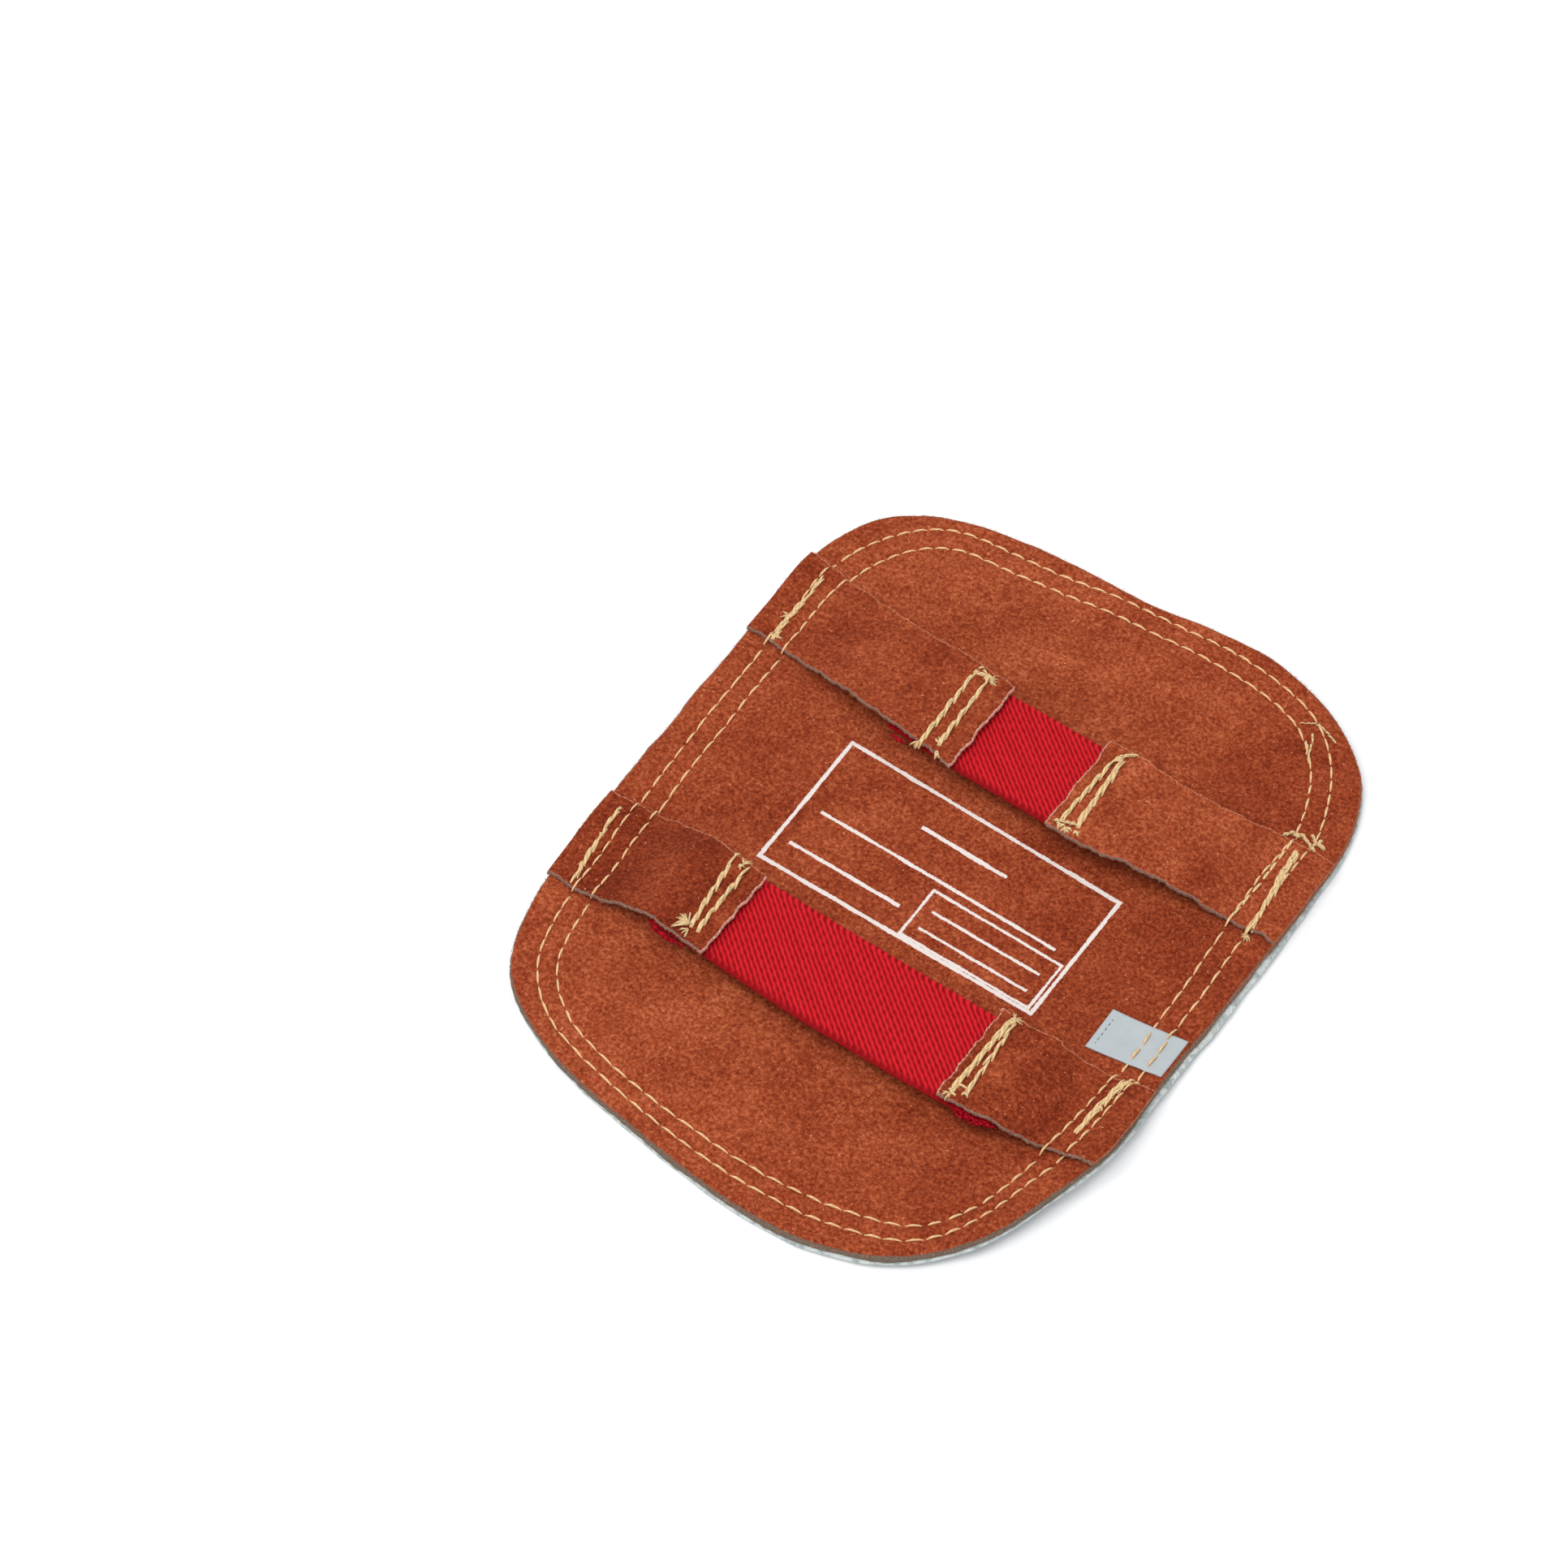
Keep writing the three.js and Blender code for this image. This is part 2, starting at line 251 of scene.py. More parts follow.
# How far a row wanders outwards at each step along it, from the middle of the right side
OUTER_WANDER = (
    0.0, 0.1, 0.1, 0.0, -0.4, -0.5, -0.6, -0.6, -0.6, -0.6, -0.7, -0.8, -0.8, -0.8, -0.9,
    -1.1, -1.0, -0.8, -0.5, -0.1, 0.1, 0.3, 0.3, 0.3, 0.3, 0.3, 0.3, 0.3, 0.0, -0.3,
    0.0, 0.3, 0.6, 0.8, 1.0, 0.5, 0.1, -0.3, -0.5, -0.4, -0.1, 0.0, 0.4, 0.8, 1.2,
    1.2, 1.0, 0.8, 0.9, 1.0, 0.8, 0.5, 0.1, 0.1, 0.1, 0.1, 0.4, 0.4, 0.2, 0.2,
    0.2, 0.4, 0.5, 0.5, 0.3, 0.3, 0.2, 0.0, -0.2, -0.5, -0.5, -0.4, -0.7, -0.9, -1.1,
    -1.0, -0.4, 0.0, 0.5, 0.9, 1.0, 0.8, 0.6, 0.2, -0.1, -0.3, -0.2, -0.2, -0.3, -0.2,
    -0.2, -0.2, -0.2, -0.1, -0.1, 0.0, -0.2, -0.2, -0.4, -0.3, -0.2, -0.1, -0.1, 0.0, 0.3,
    0.8, 1.3, 1.5, 1.3, 0.9, 0.5, 0.0, -0.4, -0.1, -0.3, -0.1, 0.1, 0.5, 0.9, 1.3,
    1.7, 1.6, 1.6, 0.8, 0.2,
)
INNER_WANDER = (
    0.0, 0.0, 0.2, 0.0, -0.2, -0.4, -0.4, -0.4, -0.4, -0.5, -0.5, -0.6, -0.6, -0.6, -0.6,
    -0.7, -0.6, -0.2, 0.0, 0.4, 0.5, 0.4, 0.3, 0.1, 0.0, -0.1, 0.2, 0.1, 0.2, 0.2,
    0.7, 1.0, 1.1, 0.7, 0.2, -0.1, -0.4, -0.6, -0.5, -0.1, 0.4, 0.9, 1.0, 1.0, 0.6,
    0.5, 0.7, 0.5, 0.0, 0.2, 0.6, 0.9, 1.0, 0.6, 0.2, 0.4, 0.2, 0.2, 0.3, 0.2,
    0.4, 0.5, 0.6, 0.5, 0.2, -0.2, -0.6, -0.5, -0.6, -1.1, -1.7, -2.0, -1.5, -0.9, -0.4,
    0.1, 0.5, 0.5, 0.4, 0.2, 0.2, 0.1, 0.1, 0.0, -0.1, -0.2, -0.1, -0.2, -0.2, 0.0,
    0.1, 0.0, -0.1, -0.2, -0.2, -0.2, 0.0, 0.1, 0.2, 0.9, 1.8, 2.4, 2.3, 2.1, 1.7,
    1.2, 0.8, 0.2, -0.4, -0.4, 0.0, 0.6, 1.4, 1.9, 1.9, 1.8, 1.8, 0.3, 0.0,
)
# Bearing in degrees, and the stitch pitch there: shorter where the rows climb over the straps
PITCHES = np.array([
    (0, 5.3), (20, 5.4), (32, 4.3), (50, 4.3), (64, 4.9), (90, 5.0), (112, 4.8),
    (125, 4.4), (150, 4.4), (163, 5.4), (195, 5.5), (208, 4.6), (235, 4.8), (252, 5.5),
    (275, 5.4), (290, 5.1), (305, 4.6), (330, 4.5), (345, 5.1), (360, 5.3),
])
print("pitch from", PITCHES[:, 1].min(), "to", PITCHES[:, 1].max(), "mm")

# %% Rows of stitches round the rim
class StitchRow:
    """A closed row of stitches that follows the edge at its own inset, a little unevenly."""

    def __init__(self, column, wandering):
        self.column = column
        self.bearing = np.arange(ROW_SAMPLES + 1) / ROW_SAMPLES * TURN
        r = rim(REACH, self.bearing) - rim(column, self.bearing) / inset_factor(self.bearing)
        self.line = np.stack([r * np.cos(self.bearing), r * np.sin(self.bearing)], 1)
        steps = np.hypot(*np.diff(self.line, axis=0).T)
        self.walked = np.concatenate([[0], np.cumsum(steps)])
        self.shift = self.smoothed(wandering)
        ahead = np.gradient(self.line, axis=0)
        ahead /= np.linalg.norm(ahead, axis=1, keepdims=True)
        self.line = self.line + np.stack([ahead[:, 1], -ahead[:, 0]], 1) * self.shift[:, None]
        self.pitch = np.interp(np.degrees(self.bearing), *PITCHES.T)
        counted = np.concatenate([[0], np.cumsum(steps / self.pitch[1:])])
        self.count = round(counted[-1])
        self.counted = counted * self.count / counted[-1]

    def smoothed(self, wandering):
        """How far the row wanders at each bearing, with the table's corners rounded."""
        steps = np.arange(len(wandering)) * WANDER_STEP
        shift = np.interp(self.walked, steps, wandering, period=self.walked[-1])
        wrapped = np.pad(shift[:-1], ROW_BLUR, mode="wrap")
        blur = 2 * ROW_BLUR + 1
        shift = np.convolve(wrapped, np.full(blur, 1 / blur), "valid")
        return np.append(shift, shift[0])

    def at(self, distance):
        """Points of the row at distances along it."""
        d = np.mod(distance, self.walked[-1])
        return np.stack([np.interp(d, self.walked, self.line[:, k]) for k in (0, 1)], -1)

    def valley(self, x, y, inset):
        """How deep the row pulls the suede down at a place."""
        bearing = np.mod(np.arctan2(y, x), TURN)
        shift = np.interp(bearing, self.bearing, self.shift)
        off_row = inset - rim(self.column, bearing) + shift
        holes = np.interp(bearing, self.bearing, self.counted)
        off_hole = np.abs(holes - np.round(holes)) * np.interp(bearing, self.bearing, self.pitch)
        depth = VALLEY_DEEP + HOLE_DEEP * np.exp(-(off_hole / HOLE_WIDE)**2)
        return np.exp(-(off_row / VALLEY_WIDE)**2) * depth


ROWS = {"outer": StitchRow(OUTER_ROW, OUTER_WANDER), "inner": StitchRow(INNER_ROW, INNER_WANDER)}
for name, row in ROWS.items():
    print(name, "row:", row.count, "stitches,", round(row.walked[-1]), "mm long")

# %% The suede's surface
EDGE_ROUND = 0.9
EDGE_DROP = 0.45


def rest_height(x, y):
    """The height of the suede's surface without its stitches."""
    inset = inset_of(x, y)
    rounded = EDGE_DROP * np.clip(1 - inset / EDGE_ROUND, 0, 1)**2
    return floor_height(x, y) + SUEDE_TOP + dents(x, y) - rounded


def suede_height(x, y):
    """The height of the suede's surface with the valleys of its stitches."""
    inset = inset_of(x, y)
    valleys = sum(row.valley(x, y, inset) for row in ROWS.values())
    return rest_height(x, y) - valleys


on_row = suede_height(*ROWS["outer"].at(np.arange(0, 600, 0.5)).T)
print("suede on the outer row, lowest and highest:", on_row.min().round(2), on_row.max().round(2))

# %% [markdown]
# ## The straps' lines
# Each tab and each web is a strip, described by a few cross-sections: the place along the
# strap, the middle of the strip, its width, and how far it has risen from the suede to
# the height at which the elastic spans the pad.

# %% The straps' tables
TAB_THICK = 1.7
WEB_THICK = 1.4
LABEL_THICK = 0.5
HAND_ROOM = 4.6
WEB_FLOOR = SUEDE_TOP + HAND_ROOM
FULL_RISE = HAND_ROOM + WEB_THICK + GAP
STRIP_X, STRIP_Y, STRIP_WIDE, STRIP_RISE = range(4)
STRIP_DENSE = 400
STRIP_SAMPLES = 200

TABS = {
    "upper_left_tab": (
        (-83.0, 52.0, 30.3, 0), (-72.3, 51.3, 29.6, 0), (-54.5, 47.6, 28.6, 0.62),
        (-40.4, 44.8, 28.8, 1), (-23.0, 43.0, 30.4, 1), (-11.6, 41.2, 31.0, 1),
    ),
    "upper_right_tab": (
        (83.2, 43.9, 29.4, 0), (69.5, 43.9, 30.5, 0), (55.3, 41.3, 28.8, 0.62),
        (41.6, 39.6, 29.0, 1), (28.7, 39.4, 32.0, 1), (18.0, 40.2, 31.9, 1),
    ),
    "lower_left_tab": (
        (-80.6, -40.9, 29.4, 0), (-68.5, -40.9, 30.2, 0), (-57.0, -40.8, 29.4, 0.5),
        (-48.5, -41.4, 28.6, 1), (-40.0, -42.2, 28.4, 1), (-30.0, -43.6, 28.4, 1),
    ),
    "lower_right_tab": (
        (82.2, -39.8, 27.4, 0), (70.5, -41.2, 26.6, 0), (62.5, -42.9, 27.6, 0.5),
        (56.0, -43.8, 28.4, 1), (50.0, -44.2, 28.8, 1), (40.0, -44.3, 30.0, 1),
    ),
}
WEBS = {
    "upper_elastic": (
        (-33.0, 43.3, 28.2, 1), (-12.2, 41.4, 28.5, 1), (16.9, 40.3, 28.7, 1),
        (38.0, 39.7, 28.2, 1),
    ),
    "lower_elastic": (
        (-47.5, -42.2, 27.2, 1), (-30.9, -42.8, 27.4, 1), (3.1, -44.4, 28.7, 1),
        (38.6, -44.9, 28.2, 1), (55.0, -44.6, 27.4, 1),
    ),
}
LABEL_INNER = 60.0
LABEL_OUTER = 80.3
LABEL_LOW = -23.0
LABEL_HIGH = -10.0
LABEL_TURN = 0.10
# How far a thread sinks into what it lies on
TAB_BITE = 0.25
LABEL_BITE = 0.1

# Lines sewn over and over: start x, start y, end x, end y and the number of passes
SEWN = {
    "upper_left_tab": {
        "tack": (
            (-22.0, 27.3, -22.8, 54.6, 3), (-17.7, 29.9, -18.6, 54.2, 3),
            (-22.6, 54.8, -18.6, 55.5, 2),
        ),
        "side": (
            (-75.3, 62.2, -75.0, 53.2, 2), (-75.0, 53.2, -75.2, 46.0, 4),
            (-75.2, 46.0, -74.8, 37.8, 4),
        ),
    },
    "upper_right_tab": {
        "tack": (
            (20.9, 27.4, 22.0, 50.9, 3), (25.3, 27.6, 24.0, 51.5, 4),
            (21.9, 51.2, 24.0, 51.6, 2),
        ),
        "side": (
            (73.3, 56.6, 73.6, 49.5, 5), (73.6, 49.5, 74.6, 41.8, 5),
            (74.6, 41.8, 75.8, 28.1, 3), (70.4, 59.7, 70.5, 43.6, 1),
            (70.5, 43.6, 69.9, 29.5, 1),
        ),
    },
    "lower_left_tab": {
        "tack": ((-37.0, -52.0, -40.1, -28.6, 3), (-34.8, -52.4, -35.4, -30.4, 3)),
        "side": ((-75.4, -30.1, -74.1, -41.1, 2), (-74.1, -41.1, -71.9, -54.6, 3)),
    },
    "lower_right_tab": {
        "tack": (
            (42.6, -57.0, 43.5, -31.2, 4), (46.0, -55.0, 44.8, -32.0, 2),
            (42.5, -53.9, 46.1, -53.7, 1),
        ),
        "side": ((74.4, -28.4, 73.2, -36.9, 5), (73.2, -36.9, 72.5, -47.2, 4)),
    },
}
print("lines sewn over and over:", sum(len(s) for tab in SEWN.values() for s in tab.values()))


# %% Strips from their tables
def strip_values(rows, place):
    """All columns of a strip's table at places counted in rows, such as 2.5."""
    rows = np.array(rows, float)
    place = np.asarray(place, float)
    row = np.minimum(place.astype(int), len(rows) - 2)
    at = [rows[np.clip(row + i, 0, len(rows) - 1)] for i in (-1, 0, 1, 2)]
    values = smooth(*at, (place - row)[..., None])
    values[..., STRIP_RISE] = np.clip(values[..., STRIP_RISE], 0, 1)
    return values


def strip_samples(rows, count):
    """Cross-sections at even steps of X, from the first row to the last."""
    dense = strip_values(rows, np.linspace(0, len(rows) - 1, STRIP_DENSE))
    wanted = np.linspace(dense[0, STRIP_X], dense[-1, STRIP_X], count)
    order = np.argsort(dense[:, STRIP_X])
    columns = [np.interp(wanted, dense[order, STRIP_X], dense[order, k]) for k in range(4)]
    return np.stack(columns, -1)


def from_left(rows):
    """Close cross-sections of a strip, from its left end to its right end."""
    sections = strip_samples(rows, STRIP_SAMPLES)
    return sections[np.argsort(sections[:, STRIP_X])]


def tab_floor(x, y, rise):
    """The height of a tab's underside."""
    return rest_height(x, y) * (1 - rise) + SUEDE_TOP * rise + GAP + FULL_RISE * rise


def inside_edge(x, y, margin):
    """X brought in where it would come nearer to the suede's cut edge than the margin."""
    limit = np.abs(x)
    for _ in range(6):
        bearing = np.arctan2(y, np.sign(x) * limit)
        reach = rim(REACH, bearing) - margin / inset_factor(bearing)
        limit = np.minimum(np.abs(x), np.sqrt(np.maximum(reach**2 - y**2, 0)))
    return np.sign(x) * limit


for name, rows in {**TABS, **WEBS}.items():
    print(name, "is", round(abs(rows[-1][0] - rows[0][0])), "mm long")


# %% What a stitch lies on
def top_height(x, y):
    """The height of the topmost layer of suede at a place, with the tabs and the label."""
    top = suede_height(x, y)
    for rows in TABS.values():
        sections = from_left(rows)
        middle, wide, rise = (
            np.interp(x, sections[:, STRIP_X], sections[:, k])
            for k in (STRIP_Y, STRIP_WIDE, STRIP_RISE)
        )
        along = (x >= sections[0, STRIP_X]) & (x <= sections[-1, STRIP_X])
        covered = along & (np.abs(y - middle) < wide / 2)
        top = np.where(covered, tab_floor(x, y, rise) + TAB_THICK - TAB_BITE, top)
    on_label = (x > LABEL_INNER) & (x < LABEL_OUTER)
    shift = (x - LABEL_INNER) * LABEL_TURN
    on_label &= (y - shift > LABEL_LOW) & (y - shift < LABEL_HIGH)
    return np.where(on_label, rest_height(x, y) + GAP + LABEL_THICK - LABEL_BITE, top)


print("top of the label:", top_height(np.array([70.0]), np.array([-15.0])).round(2), "mm")

# %% [markdown]
# ## Helpers for meshes
# All sheets here are the same kind of closed body: a fine grid on the side that shows, a
# wall round its edge, and either a second grid or a plain cap on the hidden side. Sewn
# and cut things are irregular, so a helper adds up a few sines of unlike lengths: it is
# smooth, always gives the same result, and costs little.

# %% Random but repeatable relief
WANDER_WAVES = 7
MOTTLE_WAVES = 9


def wander(where, wavelength, seed):
    """A smooth random value of about -1 to 1 along a line."""
    random = np.random.default_rng(seed)
    lengths = wavelength * random.uniform(0.6, 1.9, WANDER_WAVES)
    phases = random.uniform(0, TURN, WANDER_WAVES)
    waves = [np.sin(where / length * TURN + phase) for length, phase in zip(lengths, phases)]
    return sum(waves) / 3.0


def mottle(x, y, size, seed):
    """A smooth random value of about -1 to 1 over a surface."""
    random = np.random.default_rng(seed)
    heading = random.uniform(0, TURN, MOTTLE_WAVES)
    length = size * random.uniform(0.7, 1.7, MOTTLE_WAVES)
    phase = random.uniform(0, TURN, MOTTLE_WAVES)
    total = 0
    for k in range(MOTTLE_WAVES):
        along = x * np.cos(heading[k]) + y * np.sin(heading[k])
        total = total + np.sin(along / length[k] * TURN + phase[k])
    return total / math.sqrt(MOTTLE_WAVES) / 1.2


print("relief helper gives", mottle(np.arange(3.0), np.zeros(3), 5, 1).round(2))


# %% Closed sheets from grids
def to_frame(points):
    """Points in the pad's own millimetres become metres in the frame."""
    moved = np.array(points, float)
    moved[:, :2] -= MIDDLE
    return moved * MM


def grid_faces(across, along):
    """Quads of a grid whose points run across first."""
    first = (np.arange(along)[:, None] * (across + 1) + np.arange(across)).ravel()
    return np.stack([first, first + 1, first + across + 2, first + across + 1], 1)


def grid_edge(across, along):
    """The numbers of a grid's edge points, once round."""
    low = np.arange(across)
    right = np.arange(along) * (across + 1) + across
    high = along * (across + 1) + np.arange(across, 0, -1)
    left = np.arange(along, 0, -1) * (across + 1)
    return np.concatenate([low, right, high, left])


def loop_faces(first, second):
    """Quads between two loops of point numbers."""
    return np.stack([first, second, np.roll(second, -1), np.roll(first, -1)], 1)


def new_object(name, points, faces):
    """A mesh object at the origin, with its faces turned outwards."""
    mesh = bpy.data.meshes.new(name)
    mesh.from_pydata(to_frame(points).tolist(), [], [list(map(int, f)) for f in faces])
    work = bmesh.new()
    work.from_mesh(mesh)
    bmesh.ops.recalc_face_normals(work, faces=work.faces)
    work.to_mesh(mesh)
    work.free()
    mesh.polygons.foreach_set("use_smooth", [True] * len(mesh.polygons))
    made = bpy.data.objects.new(name, mesh)
    bpy.context.scene.collection.objects.link(made)
    return made


def places_of(piece):
    """X and Y of a piece's points, in the pad's own millimetres."""
    flat = np.array([v.co[:2] for v in piece.data.vertices]).T
    return flat / MM + MIDDLE[:, None]


def store(piece, name, values):
    """Values for each point of a piece, for its material to read."""
    values = np.asarray(values, np.float32)
    kind, field = ("FLOAT", "value") if values.ndim == 1 else ("FLOAT_VECTOR", "vector")
    attribute = piece.data.attributes.new(name, kind, "POINT")
    attribute.data.foreach_set(field, values.ravel())


def closed_sheet(name, size, shown, walls, hidden=None, cap=None):
    """A sheet from its shown grid through wall loops to a hidden grid or to a cap's loops.
    Returns the object and the share of cut edge of each point: 1 on the walls."""
    across, along = size
    edge = grid_edge(across, along)
    points = [shown]
    faces = [grid_faces(across, along)]
    cut = [np.zeros(len(shown))]
    loop = edge
    count = len(shown)
    rings = [(wall, 1) for wall in walls]
    if hidden is None:
        rings += [(ring, 0) for ring in cap[:-1]]
    for ring, share in rings:
        fresh = np.arange(len(ring)) + count
        faces.append(loop_faces(loop, fresh))
        points.append(ring)
        cut.append(np.full(len(ring), float(share)))
        count += len(ring)
        loop = fresh
    if hidden is not None:
        faces.append(loop_faces(loop, edge + count))
        faces.append(grid_faces(across, along)[:, ::-1] + count)
        points.append(hidden)
    else:
        faces.append(np.stack([loop, np.full(len(loop), count), np.roll(loop, -1)], 1))
        points.append(cap[-1])
    cut.append(np.zeros(len(points[-1])))
    flat = [face for group in faces for face in group.tolist()]
    made = new_object(name, np.concatenate(points), flat)
    return made, np.concatenate(cut)


print("a 2 by 3 grid has", len(grid_faces(2, 3)), "faces and", len(grid_edge(2, 3)), "edge points")


# %% A square grid bent into the pad's outline
def pad_grid(lanes):
    """Bearings and shares of the reach for a square grid bent into a disc."""
    side = np.linspace(-1, 1, lanes + 1)
    u, v = np.meshgrid(side, side)
    x = u * np.sqrt(1 - v**2 / 2)
    y = v * np.sqrt(1 - u**2 / 2)
    return np.arctan2(y, x).ravel(), np.hypot(x, y).ravel()


bearing, share = pad_grid(4)
print("a small pad grid reaches from", share.min().round(2), "to", share.max().round(2))

# %% [markdown]
# ## Helpers for materials
# Every finish is a tree of nodes. Two helpers keep the trees short: one adds a node with
# its settings, values and links in one call, and one starts a material with its shader.

# %% Node helpers
def add_node(tree, kind, inputs=None, **settings):
    """A node with its settings, and its sockets' values or links."""
    made = tree.nodes.new(kind)
    for name, value in settings.items():
        setattr(made, name, value)
    for name, value in (inputs or {}).items():
        if isinstance(value, bpy.types.NodeSocket):
            tree.links.new(value, made.inputs[name])
        else:
            made.inputs[name].default_value = value
    return made


def new_material(name, **shader_values):
    """A material with a Principled shader, whose even values go straight on its sockets."""
    material = bpy.data.materials.new(name)
    material.use_nodes = True
    tree = material.node_tree
    tree.nodes.clear()
    shader = tree.nodes.new("ShaderNodeBsdfPrincipled")
    sockets = {socket.name.lower(): socket for socket in shader.inputs}
    for key, value in shader_values.items():
        sockets[key.replace("_", " ")].default_value = value
    add_node(tree, "ShaderNodeOutputMaterial", {"Surface": shader.outputs["BSDF"]})
    return material, tree, shader


def calc(tree, operation, first, second=0.0, third=0.0, clamp=False):
    """One step of arithmetic on values or sockets."""
    node = add_node(tree, "ShaderNodeMath", {0: first, 1: second, 2: third},
                    operation=operation, use_clamp=clamp)
    return node.outputs[0]


def blend(tree, share, first, second):
    """Two colours mixed, with the share of the second."""
    node = add_node(tree, "ShaderNodeMix", {0: share, 6: first, 7: second}, data_type="RGBA")
    return node.outputs[2]


def ramp(tree, value, low, high, smooth_step=True):
    """A value stretched from low..high to 0..1."""
    node = add_node(tree, "ShaderNodeMapRange", {0: value, 1: low, 2: high, 3: 0.0, 4: 1.0},
                    interpolation_type="SMOOTHSTEP" if smooth_step else "LINEAR")
    return node.outputs[0]


def noise(tree, where, size_mm, detail=2.0, roughness=0.5, offset=0.0):
    """Noise whose lumps are about size_mm across. The offset picks another part of it."""
    moved = add_node(tree, "ShaderNodeMapping", {
        "Vector": where, "Location": (offset, offset * 0.7, 0)})
    node = add_node(tree, "ShaderNodeTexNoise", {
        "Vector": moved.outputs[0], "Scale": 1 / (size_mm * MM),
        "Detail": detail, "Roughness": roughness})
    return node.outputs["Fac"]


def add_bump(tree, shader, height, strength, metres):
    """Small relief that the material adds to a surface."""
    bump = add_node(tree, "ShaderNodeBump", {
        "Height": height, "Strength": strength, "Distance": metres})
    tree.links.new(bump.outputs[0], shader.inputs["Normal"])


def attribute(tree, name, output="Fac"):
    """A value that was stored on the piece's points."""
    return add_node(tree, "ShaderNodeAttribute", attribute_name=name).outputs[output]


def place(tree):
    """The place on the piece, in metres from the frame's origin."""
    return add_node(tree, "ShaderNodeTexCoord").outputs["Object"]


def srgb(red, green, blue):
    """A colour given as 0 to 255, as the linear values that a shader takes."""
    shares = [c / 255 for c in (red, green, blue)]
    linear = [c / 12.92 if c <= 0.04 else ((c + 0.055) / 1.055)**2.4 for c in shares]
    return (*linear, 1.0)


print("rust orange is", [round(c, 3) for c in srgb(165, 78, 45)])

# %% [markdown]
# ## Suede
# Suede is the flesh side of a hide, brushed to a short nap. Where the nap lies the other
# way it looks lighter or darker, so the colour changes in soft patches the size of a
# thumb, in blotches of a few millimetres, and in fine grain of a millimetre. Three noises
# add up to one tone, which runs through five colours from deep brown to a glowing orange,
# and the same grain raises the surface. Cut edges are pale and fuzzy, so the material
# reads how near the cut each point is.

# %% The suede material
NAP_COLOURS = (
    srgb(88, 26, 12), srgb(120, 42, 19), srgb(153, 67, 37), srgb(186, 98, 62),
    srgb(220, 134, 94),
)
NAP_STOPS = (-0.15, 0.26, 0.67, 1.08, 1.49)
NAP_FLECK = srgb(232, 160, 118)
NAP_SHEEN = srgb(255, 190, 140)
CUT_FIBRE = srgb(108, 60, 46)
# Sizes in millimetres, and each noise's share of the tone
PATCH_SIZE, PATCH_SHARE = 30, 0.07
BLOTCH_SIZE, BLOTCH_SHARE = 4.5, 0.13
GRAIN_SIZE, GRAIN_SHARE = 0.95, 1.02
FLECK_SIZE = 0.9
FLECK_SHARE = 0.55


def cut_share(tree, where):
    """How much of the cut edge's colour shows, with a ragged border."""
    ragged = noise(tree, where, 0.6, 2.0, 0.6)
    cut = calc(tree, "MULTIPLY_ADD", ragged, 0.7, attribute(tree, "cut"))
    return ramp(tree, cut, 0.62, 1.0)


def cut_colour(tree, where, offset):
    """The cut edge's own colour, with darker fibres in it."""
    fibres = ramp(tree, noise(tree, where, 0.42, 2.0, 0.7, offset + 0.5), 0.40, 0.62)
    pale = attribute(tree, "edge_colour", "Vector")
    return blend(tree, calc(tree, "MULTIPLY", fibres, 0.55), pale, CUT_FIBRE)


def suede_material(name, offset):
    """Suede. Its attributes are cut, edge_colour and shade, which darkens it above 0, partly as
    painted shade.
    """
    material, tree, shader = new_material(
        name, roughness=0.95, specular_ior_level=0.1,
        sheen_weight=0.12, sheen_roughness=0.5, sheen_tint=NAP_SHEEN)
    where = place(tree)
    patches = ramp(tree, noise(tree, where, PATCH_SIZE, 2.0, 0.5, offset), 0.3, 0.7)
    blotches = ramp(tree, noise(tree, where, BLOTCH_SIZE, 3.0, 0.6, offset), 0.3, 0.7)
    grain = noise(tree, where, GRAIN_SIZE, 2.0, 0.75, offset)
    grain = ramp(tree, grain, 0.26, 0.74, False)
    tone = calc(tree, "MULTIPLY", blotches, BLOTCH_SHARE)
    tone = calc(tree, "MULTIPLY_ADD", patches, PATCH_SHARE, tone)
    tone = calc(tree, "MULTIPLY_ADD", grain, GRAIN_SHARE, tone)
    tone = calc(tree, "SUBTRACT", tone, attribute(tree, "shade"))
    colour = NAP_COLOURS[0]
    for low, high, lighter in zip(NAP_STOPS, NAP_STOPS[1:], NAP_COLOURS[1:]):
        colour = blend(tree, ramp(tree, tone, low, high, False), colour, lighter)
    flecks = ramp(tree, noise(tree, where, FLECK_SIZE, 1.0, 0.5, offset + 0.3), 0.72, 0.78)
    colour = blend(tree, calc(tree, "MULTIPLY", flecks, FLECK_SHARE), colour, NAP_FLECK)
    colour = blend(tree, cut_share(tree, where), colour, cut_colour(tree, where, offset))
    tree.links.new(colour, shader.inputs["Base Color"])
    nap = calc(tree, "MULTIPLY_ADD", grain, 0.6, calc(tree, "MULTIPLY", blotches, 0.4))
    add_bump(tree, shader, nap, 0.8, 0.0005)
    return material, tree, shader, colour


tab_suede = suede_material("tab_suede", 0.71)[0]
print("suede materials:", [m.name for m in bpy.data.materials if "suede" in m.name])

# %% [markdown]
# ## The print on the suede
# The hand side carries a white print: a frame with a line of a millimetre. Here it holds
# only ruled lines and a small box, as a name field does. The frame isn't quite square to
# the pad, so each point of the suede gets its place inside the frame, in millimetres,
# and the material measures how far that is from each line. The nap breaks the ink up.

